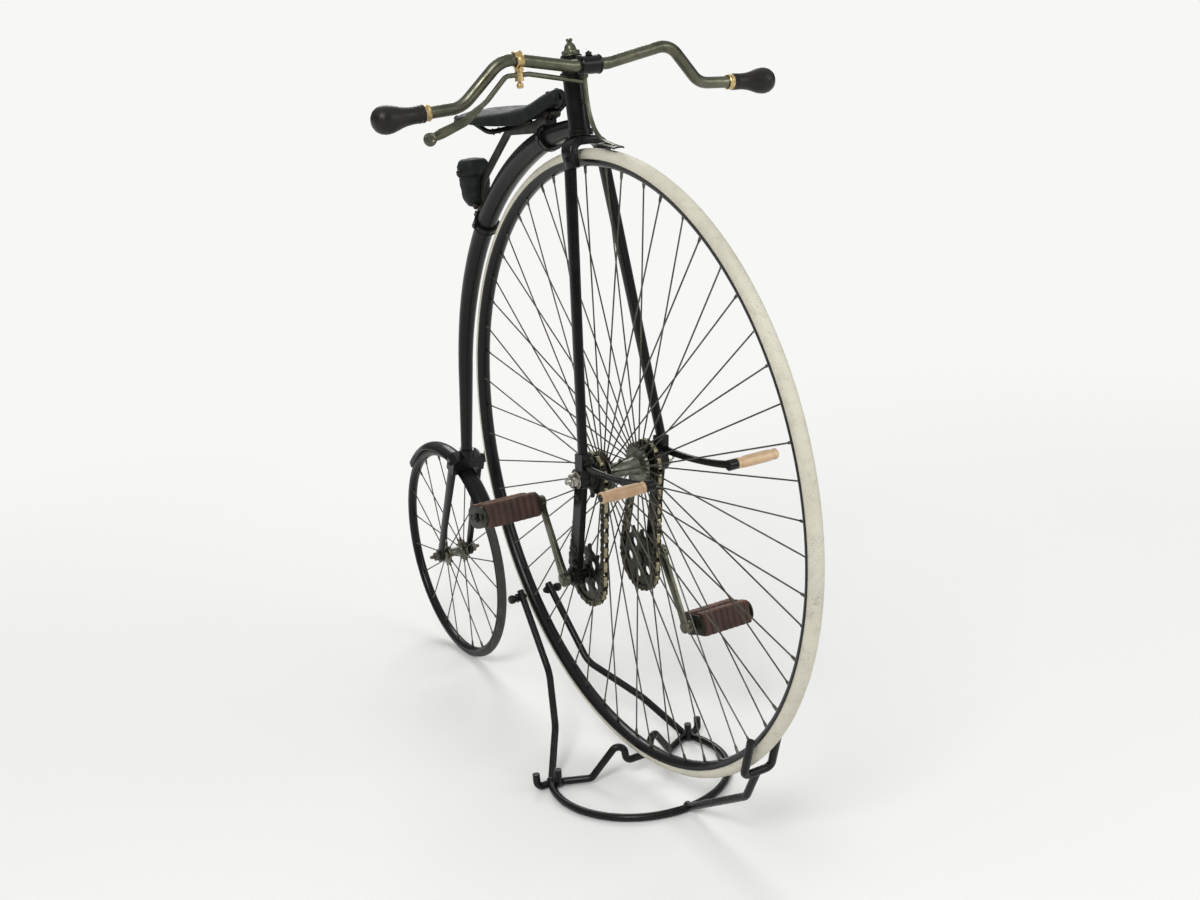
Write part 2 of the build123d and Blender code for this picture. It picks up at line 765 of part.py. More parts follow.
with BuildPart() as brake_spoon:
    spoon_inside = front_radius + spoon_gap
    spoon_outside = spoon_inside + spoon_thickness
    spoon_foot = over_tyre((spoon_inside + spoon_outside) / 2, spoon_angles[0] + 1)
    strip_top = lug_middle.Z - lug_arm[1] / 2 - seat
    strip_run = strip_top - spoon_foot.Z
    strip_x = front_x + spoon_strip_ahead
    spoon_route = [
        Vector(strip_x, 0, strip_top),
        Vector(strip_x, 0, spoon_foot.Z + strip_run * spoon_knee_height),
        Vector(strip_x + spoon_bow_ahead, 0, spoon_foot.Z + strip_run * spoon_bow_height),
        spoon_foot,
    ]
    with BuildLine() as spoon_line:
        FilletPolyline(*spoon_route, radius=min(spoon_bend_radius, strip_run / 8))
    with BuildSketch(Plane(origin=spoon_line.line @ 0, x_dir=(0, 1, 0), z_dir=spoon_line.line % 0)):
        Rectangle(spoon_strip_width, spoon_thickness)
    sweep(path=spoon_line.line)
    inner = [over_tyre(spoon_inside, angle) for angle in spoon_angles]
    outer = [over_tyre(spoon_outside, angle) for angle in spoon_angles]
    with BuildSketch(Plane(origin=(0, spoon_width / 2, 0), x_dir=(1, 0, 0), z_dir=(0, -1, 0))):
        with BuildLine():
            ThreePointArc(*[(point.X, point.Z) for point in inner])
            Line((inner[2].X, inner[2].Z), (outer[2].X, outer[2].Z))
            ThreePointArc(*[(point.X, point.Z) for point in outer])
            Line((outer[0].X, outer[0].Z), (inner[0].X, inner[0].Z))
        make_face()
    extrude(amount=spoon_width)
label_and_write(brake_spoon, "brake_spoon")

# Footrests
rest_tip = front_axle + Vector(rest_reach, 0, rest_height)
rest_root = front_axle + Vector(blade_ahead_bottom, 0, rest_root_height)
rest_boss_out = fork_end_middle + rest_boss_length / 2
with BuildPart() as footrest_arms:
    deep = rest_arm[0] / 2
    bow = (rest_tip + rest_root) * 0.5 - Vector(0, 0, rest_arm_bow)
    for side in (-1, 1):
        arm_in = side * fork_end_middle - rest_arm[1] / 2
        with BuildSketch(Plane(origin=(0, arm_in, 0), x_dir=(-1, 0, 0), z_dir=(0, 1, 0))):
            with BuildLine():
                ThreePointArc(
                    (-rest_root.X, rest_root.Z - deep),
                    (-bow.X, bow.Z - deep),
                    (-rest_tip.X, rest_tip.Z - deep),
                )
                Line((-rest_tip.X, rest_tip.Z - deep), (-rest_tip.X, rest_tip.Z + deep))
                ThreePointArc(
                    (-rest_tip.X, rest_tip.Z + deep),
                    (-bow.X, bow.Z + deep),
                    (-rest_root.X, rest_root.Z + deep),
                )
                Line((-rest_root.X, rest_root.Z + deep), (-rest_root.X, rest_root.Z - deep))
            make_face()
        extrude(amount=rest_arm[1])
        boss_in = side * fork_end_middle - rest_boss_length / 2
        barrel(rest_tip, boss_in, boss_in + rest_boss_length, rest_boss_diameter)
        near = rest_boss_out - 1
        far = rest_boss_out + peg_length - peg_cover
        if side < 0:
            near, far = -far, -near
        barrel(rest_tip, near, far, rest_spindle_diameter)
        fork_socket(side, seat, Mode.SUBTRACT)
    bore(front_axle, -fork_end_out, fork_end_out, fork_end_diameter + 2 * seat)
label_and_write(footrest_arms, "footrest_arms")

with BuildPart() as footrest_pegs:
    for side in (-1, 1):
        peg_in = rest_boss_out + seat
        peg_out = peg_in + peg_length
        bore_out = peg_out - peg_cover + seat
        near, far = (peg_in, peg_out) if side > 0 else (-peg_out, -peg_in)
        barrel(rest_tip, near, far, peg_diameter)
        near, far = (peg_in, bore_out) if side > 0 else (-bore_out, -peg_in)
        bore(rest_tip, near, far, rest_spindle_diameter + 2 * seat)
label_and_write(footrest_pegs, "footrest_pegs")

# Chains: side plates all the way round, blocks on the straight runs where no tooth comes
straight_lean = asin((lower_pitch_radius - upper_pitch_radius) / drive_distance)
straight_length = drive_distance * cos(straight_lean)
upper_wrap = upper_pitch_radius * (pi - 2 * straight_lean)
lower_wrap = lower_pitch_radius * (pi + 2 * straight_lean)
loop_length = 2 * straight_length + upper_wrap + lower_wrap


def loop_point(distance):
    """Point of the chain's loop in the drive's own frame: X forwards across it, Y down to the crank."""
    away = distance % loop_length
    side_x, side_y = cos(straight_lean), -sin(straight_lean)
    if away < straight_length:
        start = (upper_pitch_radius * side_x, upper_pitch_radius * side_y)
        run = away
        return (start[0] + run * sin(straight_lean), start[1] + run * cos(straight_lean))
    away -= straight_length
    if away < lower_wrap:
        angle = -straight_lean + away / lower_pitch_radius
        return (
            lower_pitch_radius * cos(angle),
            drive_distance + lower_pitch_radius * sin(angle),
        )
    away -= lower_wrap
    if away < straight_length:
        start = (-lower_pitch_radius * side_x, drive_distance + lower_pitch_radius * side_y)
        return (start[0] + away * sin(straight_lean), start[1] - away * cos(straight_lean))
    away -= straight_length
    angle = pi + straight_lean + away / upper_pitch_radius
    return (upper_pitch_radius * cos(angle), upper_pitch_radius * sin(angle))


down = (crank_axle - front_axle).normalized()
forward = Vector(-down.Z, 0, down.X)


def chain_place(point):
    """Turns a point of the loop's frame into the bicycle's frame."""
    return front_axle + forward * point[0] + down * point[1]


def bar_distance(axle, middle, ahead, half):
    """Nearest distance from an axle to a block of this middle, direction and half length."""
    gap = axle - middle
    along = max(0.0, abs(gap.dot(ahead)) - half)
    across = max(0.0, sqrt(max(0.0, gap.length**2 - gap.dot(ahead) ** 2)) - block_diameter / 2)
    return hypot(along, across)


def chain(side):
    """One chain: alternate links have their plates closer in and further out."""
    link = loop_length / chain_links
    for number in range(chain_links):
        start = chain_place(loop_point(link * number))
        end = chain_place(loop_point(link * (number + 1)))
        ahead = (end - start).normalized()
        half = (end - start).length / 2
        long = half + plate_end
        full = half + plate_shoulder
        middle = (start + end) * 0.5
        step = 0.0 if number % 2 else plate_thickness
        for face in (-1, 1):
            inner = side * chain_line + face * (chain_inside / 2 + step)
            base = inner if face > 0 else inner - plate_thickness
            plane = Plane(origin=(middle.X, base, middle.Z), x_dir=ahead, z_dir=(0, 1, 0))
            with BuildSketch(plane) as outline:
                Polygon(
                    (-long, -plate_end_height / 2),
                    (-long, plate_end_height / 2),
                    (-full, plate_height / 2),
                    (full, plate_height / 2),
                    (long, plate_end_height / 2),
                    (long, -plate_end_height / 2),
                    (full, -plate_height / 2),
                    (-full, -plate_height / 2),
                    align=None,
                )
            extrude(outline.sketch, amount=plate_thickness)
        upper_clear = upper_pitch_radius + tooth_height + block_room
        lower_clear = lower_pitch_radius + tooth_height + block_room
        upper_away = bar_distance(front_axle, middle, ahead, half)
        lower_away = bar_distance(crank_axle, middle, ahead, half)
        if number % 2 and upper_away > upper_clear and lower_away > lower_clear:
            wide = chain_inside / 2
            plane = Plane(
                origin=(middle.X, side * chain_line - wide, middle.Z), x_dir=ahead, z_dir=(0, 1, 0)
            )
            with BuildSketch(plane) as outline:
                Rectangle(2 * half + 2, block_diameter)
            extrude(outline.sketch, amount=2 * wide)


with BuildPart() as left_chain:
    chain(1)
label_and_write(left_chain, "left_chain")

with BuildPart() as right_chain:
    chain(-1)
label_and_write(right_chain, "right_chain")


def crank_sprocket(side):
    """Lower sprocket with its short axle, out to the crank."""
    middle = side * chain_line
    with BuildSketch(tooth_plane(crank_axle, middle - tooth_thickness / 2, 90)) as outline:
        sprocket_outline(lower_teeth, lower_pitch_radius)
        with PolarLocations(lower_pitch_radius * 0.55, sprocket_hole_count):
            Circle(sprocket_hole_diameter / 2, mode=Mode.SUBTRACT)
    extrude(outline.sketch, amount=tooth_thickness)
    near = chain_line - tooth_thickness / 2
    far = crank_in
    if side < 0:
        near, far = -far, -near
    barrel(crank_axle, near, far, crank_axle_diameter)


def crank_end(side):
    """Middle of the pedal's spindle in the bicycle's side view."""
    angle = radians(crank_angle if side < 0 else crank_angle + 180)
    return crank_axle + Vector(crank_length * cos(angle), 0, crank_length * sin(angle))


def crank_arm(side):
    """Crank with an eye at each end, and the pedal's spindle."""
    near, far = (crank_in, crank_out) if side > 0 else (-crank_out, -crank_in)
    pin = crank_end(side)
    ahead = (pin - crank_axle).normalized()
    barrel(crank_axle, near, far, crank_eye_diameter)
    barrel(pin, near, far, crank_tip_diameter)
    middle = (pin + crank_axle) * 0.5
    with BuildSketch(Plane(origin=(middle.X, near, middle.Z), x_dir=ahead, z_dir=(0, 1, 0))) as outline:
        Trapezoid(crank_width, crank_length, 90 - crank_taper, rotation=90)
    extrude(outline.sketch, amount=far - near)
    near, far = (crank_out, pedal_out) if side > 0 else (-pedal_out, -crank_out)
    barrel(pin, near, far, pedal_spindle_diameter)


def pedal_frame(side):
    """Pedal's two end plates and the sleeve between them, free on the spindle."""
    pin = crank_end(side)
    lean = radians(pedal_tilt)
    for near, far in ((pedal_in, pedal_in + pedal_plate), (pedal_out - pedal_plate, pedal_out)):
        low = near if side > 0 else -far
        plane = Plane(origin=(pin.X, low, pin.Z), x_dir=(cos(lean), 0, sin(lean)), z_dir=(0, 1, 0))
        with BuildSketch(plane) as outline:
            SlotOverall(pedal_depth, pedal_height - pedal_plate_rise)
        extrude(outline.sketch, amount=pedal_plate)
    near, far = (pedal_in, pedal_out) if side > 0 else (-pedal_out, -pedal_in)
    barrel(pin, near, far, pedal_sleeve_diameter)
    bore(pin, near, far, pedal_spindle_diameter + 2 * running)


def pedal_rubbers(side):
    """Two thick rubber blocks, ahead of the sleeve and behind it."""
    pin = crank_end(side)
    lean = radians(pedal_tilt)
    near = pedal_in + pedal_plate + seat
    low = near if side > 0 else -(pedal_out - pedal_plate - seat)
    plane = Plane(origin=(pin.X, low, pin.Z), x_dir=(cos(lean), 0, sin(lean)), z_dir=(0, 1, 0))
    with BuildSketch(plane) as outline:
        with Locations((-pedal_depth * 0.29, 0), (pedal_depth * 0.29, 0)):
            RectangleRounded(pedal_rubber_diameter, pedal_height, pedal_corner)
        Circle(pedal_sleeve_diameter / 2 + seat, mode=Mode.SUBTRACT)
    extrude(outline.sketch, amount=pedal_length - 2 * pedal_plate - 2 * seat)


with BuildPart() as left_crank_sprocket:
    crank_sprocket(1)
label_and_write(left_crank_sprocket, "left_crank_sprocket")

with BuildPart() as right_crank_sprocket:
    crank_sprocket(-1)
label_and_write(right_crank_sprocket, "right_crank_sprocket")

with BuildPart() as left_crank:
    crank_arm(1)
label_and_write(left_crank, "left_crank")

with BuildPart() as right_crank:
    crank_arm(-1)
label_and_write(right_crank, "right_crank")

with BuildPart() as left_pedal_frame:
    pedal_frame(1)
label_and_write(left_pedal_frame, "left_pedal_frame")

with BuildPart() as right_pedal_frame:
    pedal_frame(-1)
label_and_write(right_pedal_frame, "right_pedal_frame")

with BuildPart() as left_pedal_rubbers:
    pedal_rubbers(1)
label_and_write(left_pedal_rubbers, "left_pedal_rubbers")

with BuildPart() as right_pedal_rubbers:
    pedal_rubbers(-1)
label_and_write(right_pedal_rubbers, "right_pedal_rubbers")

# Backbone: a tapered tube that follows the tyre from the head to the rear crown
neck_point = steer.from_local_coords(Vector(0, 0, head_low + neck_distance))
foot_up = Vector(sin(radians(backbone_foot_angle)), 0, cos(radians(backbone_foot_angle)))
bend_reach = front_radius + bend_gap
bend_point = front_axle + Vector(
    bend_reach * cos(radians(bend_angle)), 0, bend_reach * sin(radians(bend_angle))
)
foot_point = bend_point - foot_up * backbone_foot_length
rear_up = (foot_point - rear_axle).normalized()
rear_crown_distance = (foot_point - rear_axle).length  # rear axle to the top of the crown

with BuildLine() as curve:
    TangentArc(bend_point, neck_point, tangent=foot_up)


def backbone_tube(extra):
    """The tapered tube, or the room that it needs when extra is given."""
    rings = []
    for part, diameter in backbone_sections:
        at = 1 - part
        with BuildSketch(Plane(origin=curve.line @ at, x_dir=(0, 1, 0), z_dir=curve.line % at)) as ring:
            Circle(diameter / 2 + extra)
        rings.append(ring.sketch)
    loft(rings)
    foot_end = foot_point - foot_up * foot_sunk
    with BuildSketch(Plane(origin=foot_end, x_dir=(0, 1, 0), z_dir=foot_up)) as ring:
        Circle(backbone_foot_diameter / 2 + extra)
    loft([rings[-1], ring.sketch])


with BuildPart() as backbone:
    backbone_tube(0)
    with BuildSketch(steer.offset(head_low)):
        Circle(head_diameter / 2)
    extrude(amount=head_length)
    with BuildSketch(steer.offset(head_low), steer.offset(head_high - head_cup_height)):
        Circle(head_cup_diameter / 2)
    extrude(amount=head_cup_height)
    with BuildSketch(steer.offset(head_low)):
        Circle(steerer_diameter / 2 + running)
    extrude(amount=head_length, mode=Mode.SUBTRACT)
    with BuildSketch(steer.offset(head_low)):
        Circle(head_cup_diameter)
    extrude(amount=-head_cup_diameter, mode=Mode.SUBTRACT)
label_and_write(backbone, "backbone")

# Room that pieces on the backbone leave for it
with BuildPart() as backbone_room:
    backbone_tube(seat)

# Rear fork
rear_frame = Plane(
    origin=rear_axle, x_dir=(rear_up.Z, 0, -rear_up.X), z_dir=rear_up
)
rear_side = Plane(origin=rear_axle, x_dir=(0, 1, 0), z_dir=rear_frame.x_dir)
guard_top = rear_radius + guard_gap + guard_crown + guard_thickness
rear_crown_under = guard_top + 1
rear_end_out = rear_blade_spread_bottom / 2 + rear_end_width / 2
socket_root = foot_sunk + 2
with BuildPart() as rear_fork:
    half = rear_blade_spread_top / 2
    wide = half + rear_blade_top[1] / 2
    narrow = half - rear_blade_top[1] / 2
    top = rear_crown_distance - seat
    low = rear_crown_under - rear_crown_cheek
    with BuildSketch(rear_side):
        with BuildLine():
            Polyline(
                (-wide, low),
                (-wide, top - rear_crown_shoulder),
                (rear_crown_shoulder - wide, top),
                (wide - rear_crown_shoulder, top),
                (wide, top - rear_crown_shoulder),
                (wide, low),
                (narrow, low),
                (narrow - 3, rear_crown_under),
                (3 - narrow, rear_crown_under),
                (-narrow, low),
                close=True,
            )
        make_face()
    extrude(amount=rear_crown_length / 2, both=True)
    for side in (-1, 1):
        for level, spread, section in (
            (0, rear_blade_spread_bottom, rear_blade_bottom),
            (low + 1, rear_blade_spread_top, rear_blade_top),
        ):
            with BuildSketch(rear_frame.offset(level)):
                with Locations((0, side * spread / 2)):
                    Ellipse(section[0] / 2, section[1] / 2)
        loft()
        end_in = side * rear_blade_spread_bottom / 2 - rear_end_width / 2
        barrel(rear_axle, end_in, end_in + rear_end_width, rear_end_diameter)
    bore(rear_axle, -rear_end_out, rear_end_out, rear_axle_diameter + 2 * seat)
    with BuildSketch(Plane(origin=foot_point - foot_up * socket_root, x_dir=(0, 1, 0), z_dir=foot_up)):
        Circle(rear_socket_diameter / 2)
    extrude(amount=socket_root + rear_socket_height)
    with BuildSketch(rear_side.offset(-rear_socket_diameter)):
        Rectangle(guard_width + 4, 2 * (guard_top + seat))
    extrude(amount=2 * rear_socket_diameter, mode=Mode.SUBTRACT)
    add(backbone_room.part, mode=Mode.SUBTRACT)
label_and_write(rear_fork, "rear_fork")

with BuildPart() as rear_axle_bar:
    rear_nut_out = rear_end_out + seat + rear_nut_thickness
    barrel(rear_axle, -rear_nut_out, rear_nut_out, rear_axle_diameter)
    hexagon(rear_axle, rear_end_out + seat, rear_nut_out, rear_nut_across_flats)
    hexagon(rear_axle, -rear_nut_out, -rear_end_out - seat, rear_nut_across_flats)
    stub_out = rear_nut_out + rear_stub_length
    barrel(rear_axle, -stub_out, stub_out, rear_stub_diameter)
label_and_write(rear_axle_bar, "rear_axle")

# Mudguard: a rounded strip round the rear tyre
guard_inside = rear_radius + guard_gap
with BuildPart() as rear_mudguard:
    start = radians(guard_front_angle)
    span = guard_rear_angle - guard_front_angle
    plane = Plane(
        origin=rear_axle,
        x_dir=(cos(start), 0, sin(start)),
        z_dir=(-sin(start), 0, cos(start)),
    )
    with BuildSketch(plane):
        with BuildLine():
            edge = guard_width / 2
            outside = guard_inside + guard_thickness
            ThreePointArc((guard_inside, -edge), (guard_inside + guard_crown, 0), (guard_inside, edge))
            Line((guard_inside, edge), (outside, edge))
            ThreePointArc((outside, edge), (outside + guard_crown, 0), (outside, -edge))
            Line((outside, -edge), (guard_inside, -edge))
        make_face()
    revolve(axis=Axis(rear_axle, (0, -1, 0)), revolution_arc=span)
    tip = radians(guard_rear_angle)
    tip_plane = Plane(
        origin=rear_axle + Vector(cos(tip), 0, sin(tip)) * guard_inside,
        x_dir=(-sin(tip), 0, cos(tip)),
        z_dir=(cos(tip), 0, sin(tip)),
    )
    for side in (-1, 1):
        with BuildSketch(tip_plane):
            Polygon(
                (-guard_point, side * (edge + 1)),
                (-guard_point, side * edge),
                (-guard_point / 2, side * edge * 0.72),
                (0, side * edge * 0.12),
                (guard_point, side * edge * 0.12),
                (guard_point, side * (edge + 1)),
                align=None,
            )
        extrude(amount=guard_point, both=True, mode=Mode.SUBTRACT)
label_and_write(rear_mudguard, "rear_mudguard")

# Mounting step: a small hook on the left of the rear crown
step_plane = Plane(
    origin=rear_axle + rear_up * ((low + top) / 2 - step_tongue[1] / 2),
    x_dir=(-rear_up.Z, 0, rear_up.X),
    z_dir=(0, 1, 0),
)
with BuildPart() as mounting_step:
    with BuildSketch(step_plane.offset(wide + seat)):
        RectangleRounded(*step_tongue, step_corner)
    extrude(amount=step_reach - wide - seat)
    with BuildSketch(step_plane.offset(step_reach - step_thickness)):
        with Locations((0, step_lip[1] / 2 - step_tongue[1] / 2)):
            RectangleRounded(*step_lip, step_corner)
    extrude(amount=step_thickness)
label_and_write(mounting_step, "mounting_step")

# Saddle
def saddle_body(extra):
    """Saddle's shell, or the room that it needs when extra is given."""
    rings = []
    for ahead, top, half, depth in saddle_sections:
        side = top - depth * 0.6 + extra
        foot = top - depth - extra
        out = half + extra
        plane = Plane(origin=(front_x + ahead, 0, head_level), x_dir=(0, 1, 0), z_dir=(1, 0, 0))
        with BuildSketch(plane) as ring:
            with BuildLine(mode=Mode.PRIVATE) as outline:
                ThreePointArc((-out, side), (0, top + extra), (out, side))
                Line((out, side), (out, foot))
                Line((out, foot), (-out, foot))
                Line((-out, foot), (-out, side))
            add(make_face(outline.line, mode=Mode.PRIVATE))
        rings.append(ring.sketch)
    loft(rings)


with BuildPart() as saddle_top:
    saddle_body(0)
label_and_write(saddle_top, "saddle_top")

# Room that the springs leave for the saddle
with BuildPart() as saddle_room:
    saddle_body(seat)


def over_backbone(back):
    """Backbone's middle, direction and outward side at this distance behind the front axle."""
    middle, along = place_along(curve.line, lambda point: front_x - back - point.X)
    return middle, along, Vector(-along.Z, 0, along.X)


rear_clip, rear_clip_along, rear_clip_out = over_backbone(rear_clip_back)
leaf_foot = rear_clip + rear_clip_out * saddle_leaf_foot_out
leaf_bend = Vector(rear_clip.X + saddle_leaf_end_ahead, 0, rear_clip.Z + saddle_leaf_end_over)
leaf_route = [Vector(front_x + x, 0, head_level + z) for x, z in saddle_leaf_route]
leaf_route += [leaf_bend, leaf_foot]
strut_root = leaf_route[2]
with BuildPart() as saddle_spring:
    with BuildLine() as leaf_line:
        FilletPolyline(*leaf_route, radius=saddle_leaf_bend)
    with BuildSketch(Plane(origin=leaf_line.line @ 0, x_dir=(0, 1, 0), z_dir=leaf_line.line % 0)):
        Rectangle(*saddle_leaf)
    sweep(path=leaf_line.line)
    for side in (-1, 1):
        with BuildLine() as strut_line:
            FilletPolyline(
                *[strut_root + Vector(x, side * y, z) for x, y, z in saddle_strut_points],
                radius=saddle_strut_bend,
            )
        with BuildSketch(Plane(origin=strut_line.line @ 0, z_dir=strut_line.line % 0)):
            Circle(saddle_strut_diameter / 2)
        sweep(path=strut_line.line)
    add(saddle_room.part, mode=Mode.SUBTRACT)
label_and_write(saddle_spring, "saddle_spring")

with BuildPart() as leaf_room:
    with BuildSketch(Plane(origin=leaf_line.line @ 0, x_dir=(0, 1, 0), z_dir=leaf_line.line % 0)):
        Rectangle(saddle_leaf[0] + 2 * seat, saddle_leaf[1] + 2 * seat)
    sweep(path=leaf_line.line)

clip_bore = backbone_sections[2][1]
with BuildPart() as saddle_clips:
    front_clip, front_clip_along = over_backbone(front_clip_back)[:2]
    post_high = leaf_route[0].Z - saddle_leaf[1]
    for middle, along in ((front_clip, front_clip_along), (rear_clip, rear_clip_along)):
        with BuildSketch(Plane(origin=middle, x_dir=(0, 1, 0), z_dir=along)):
            Circle(clip_bore / 2 + saddle_clip_wall)
        extrude(amount=saddle_clip_width / 2, both=True)
    with BuildSketch(Plane(origin=front_clip)):
        Rectangle(*saddle_post)
    extrude(amount=post_high - front_clip.Z)
    with BuildSketch(Plane(origin=rear_clip, x_dir=(0, 1, 0), z_dir=rear_clip_out)):
        Rectangle(saddle_post[1], saddle_clip_width)
    extrude(amount=saddle_leaf_foot_out + 2)
    add(backbone_room.part, mode=Mode.SUBTRACT)
    add(leaf_room.part, mode=Mode.SUBTRACT)
label_and_write(saddle_clips, "saddle_clips")

with BuildPart() as clip_room:
    for middle, along in ((front_clip, front_clip_along), (rear_clip, rear_clip_along)):
        with BuildSketch(Plane(origin=middle, x_dir=(0, 1, 0), z_dir=along)):
            Circle(clip_bore / 2 + saddle_clip_wall + seat)
        extrude(amount=saddle_clip_width / 2 + seat, both=True)

bag_width, bag_depth, bag_height = bag_size
with BuildPart() as tool_bag:
    bag_top = Vector(front_x, 0, head_level) + Vector(*bag_place) + Vector(0, 0, bag_height / 2)
    with BuildSketch(Plane(origin=bag_top)):
        RectangleRounded(bag_depth, bag_width, bag_corner)
    extrude(amount=-bag_height, taper=bag_taper)
    fillet(tool_bag.edges().group_by(Axis.Z)[0], bag_round)
    fillet(tool_bag.edges().group_by(Axis.Z)[-1], bag_round)
    add(backbone_room.part, mode=Mode.SUBTRACT)
    add(clip_room.part, mode=Mode.SUBTRACT)
    add(leaf_room.part, mode=Mode.SUBTRACT)
label_and_write(tool_bag, "tool_bag")

# Rear wheel
with BuildPart() as rear_tyre:
    tyre(rear_axle, rear_axis, rear_radius, rear_section)
label_and_write(rear_tyre, "rear_tyre")

with BuildPart() as rear_rim:
    rim(rear_axle, rear_axis, rear_radius, rear_section, rear_rim_wall)
label_and_write(rear_rim, "rear_rim")

with BuildPart() as rear_spokes:
    spokes(
        rear_axle,
        rear_spoke_count,
        rear_flange_diameter / 2 - spoke_edge,
        rear_flange_spacing / 2 - spoke_sink / 2,
        rear_radius - rear_section - rear_rim_wall + spoke_sink,
        spoke_splay,
    )
label_and_write(rear_spokes, "rear_spokes")

with BuildPart() as rear_hub:
    barrel(rear_axle, -rear_hub_length / 2, rear_hub_length / 2, rear_hub_diameter)
    for side in (-1, 1):
        flange = side * rear_flange_spacing / 2
        barrel(
            rear_axle,
            flange - rear_flange_thickness / 2,
            flange + rear_flange_thickness / 2,
            rear_flange_diameter,
        )
    bore(rear_axle, -rear_hub_length / 2, rear_hub_length / 2, rear_axle_diameter + 2 * running)
label_and_write(rear_hub, "rear_hub")

# Stand
bar_middle = stand_bar / 2
ring_x = front_x - stand_ring_back
foot_x = front_x - stand_foot_back
foot_y = sqrt(stand_ring_radius**2 - (stand_foot_back - stand_ring_back) ** 2)


def bar_along(points, radius, diameter):
    """Round bar along a filleted run of points."""
    with BuildLine() as run:
        FilletPolyline(*points, radius=radius)
    with BuildSketch(Plane(origin=run.line @ 0, z_dir=run.line % 0)) as outline:
        Circle(diameter / 2)
    sweep(outline.sketch, path=run.line)


with BuildPart() as stand_ring:
    with BuildLine() as ring_line:
        ThreePointArc(
            (foot_x, -foot_y, bar_middle),
            (ring_x + stand_ring_radius, 0, bar_middle),
            (foot_x, foot_y, bar_middle),
        )
    with BuildSketch(Plane(origin=ring_line.line @ 0, z_dir=ring_line.line % 0)):
        Circle(stand_bar / 2)
    sweep(path=ring_line.line)
label_and_write(stand_ring, "stand_ring")

wheel_half = front_section / 2 + rim_wall / 2
cradle_half = wheel_half + stand_room + stand_bar / 2
cradle_low = front_lift - stand_room - stand_bar / 2
cradle_x = front_x + stand_cradle_ahead
hook_width, hook_height = stand_hook
with BuildPart() as stand_cradle:
    half_route = [
        Vector(foot_x, -foot_y - hook_width, bar_middle + hook_height),
        Vector(foot_x, -foot_y - hook_width, bar_middle),
        Vector(foot_x, -foot_y, bar_middle),
        Vector(cradle_x - hook_width, -cradle_half - 2 * hook_width, bar_middle + 4),
        Vector(cradle_x, -cradle_half - 3, front_lift + stand_cradle_rise),
        Vector(cradle_x, -cradle_half + 1, cradle_low),
    ]
    mirrored = [Vector(point.X, -point.Y, point.Z) for point in reversed(half_route)]
    bar_along(half_route + mirrored, stand_cradle_bend, stand_bar)
label_and_write(stand_cradle, "stand_cradle")

yoke_angle = radians(stand_yoke_angle)
yoke_point = front_axle - Vector(cos(yoke_angle), 0, sin(yoke_angle)) * stand_yoke_radius
yoke_half = stand_yoke_width / 2
with BuildPart() as stand_uprights:
    for side in (-1, 1):
        route = [yoke_point + Vector(0, side * yoke_half, stand_bar)]
        for along, out, down in stand_upright_run:
            route.append(
                Vector(
                    yoke_point.X + (foot_x - yoke_point.X) * along,
                    side * (yoke_half + (foot_y - yoke_half) * out),
                    yoke_point.Z + down,
                )
            )
        route.append(Vector(foot_x, side * foot_y, bar_middle))
        bar_along(route, stand_upright_bend, stand_bar)
label_and_write(stand_uprights, "stand_uprights")

with BuildPart() as stand_yoke:
    screw_in = wheel_half + stand_room
    screw_out = yoke_half + stand_screw_reach
    for side in (-1, 1):
        near, far = (screw_in, screw_out) if side > 0 else (-screw_out, -screw_in)
        barrel(yoke_point, near, far, stand_screw_diameter)
label_and_write(stand_yoke, "stand_yoke")


def under_tyre(reach, angle, side):
    """Place below the wheel's front, at this reach from the axle and degrees below straight ahead."""
    low = radians(angle)
    return front_axle + Vector(reach * cos(low), side * cradle_half, -reach * sin(low))


rest_reach_low = front_radius + stand_room + stand_bar / 2
with BuildPart() as stand_front_rest:
    prongs = [
        under_tyre(stand_rest_radius, stand_rest_angle, -1),
        under_tyre(rest_reach_low, stand_rest_low_angle, -1),
    ]
    mirrored = [Vector(point.X, -point.Y, point.Z) for point in reversed(prongs)]
    bar_along(prongs + mirrored, stand_rest_bend, stand_bar)
    stem_top = (prongs[1] + mirrored[0]) * 0.5
    stem_knee = under_tyre(rest_reach_low + 2 * stand_bar, stand_stem_angle, 0)
    ring_front = Vector(ring_x + stand_ring_radius, 0, bar_middle)
    bar_along([stem_top, stem_knee, ring_front], stand_stem_bend, stand_bar)
label_and_write(stand_front_rest, "stand_front_rest")
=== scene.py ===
import json
from math import asin, copysign, cos, pi, radians, sin, sqrt, tan, tau

import bmesh
import bpy
from mathutils import Matrix, Vector, noise


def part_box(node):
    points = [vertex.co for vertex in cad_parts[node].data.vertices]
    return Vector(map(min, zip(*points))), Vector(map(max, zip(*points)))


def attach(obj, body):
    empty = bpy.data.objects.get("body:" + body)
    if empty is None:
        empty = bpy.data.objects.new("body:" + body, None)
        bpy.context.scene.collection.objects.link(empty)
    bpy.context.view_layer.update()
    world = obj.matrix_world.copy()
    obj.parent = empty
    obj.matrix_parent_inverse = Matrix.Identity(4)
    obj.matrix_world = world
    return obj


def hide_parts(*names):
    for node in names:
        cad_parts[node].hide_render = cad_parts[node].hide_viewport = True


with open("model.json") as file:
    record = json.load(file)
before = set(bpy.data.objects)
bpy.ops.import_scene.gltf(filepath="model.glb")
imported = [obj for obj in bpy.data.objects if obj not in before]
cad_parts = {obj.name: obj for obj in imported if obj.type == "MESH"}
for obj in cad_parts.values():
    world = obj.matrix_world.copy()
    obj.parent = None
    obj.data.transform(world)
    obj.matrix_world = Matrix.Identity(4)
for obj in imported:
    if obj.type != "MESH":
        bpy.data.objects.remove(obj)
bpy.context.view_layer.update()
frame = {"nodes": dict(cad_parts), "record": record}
scene = bpy.context.scene

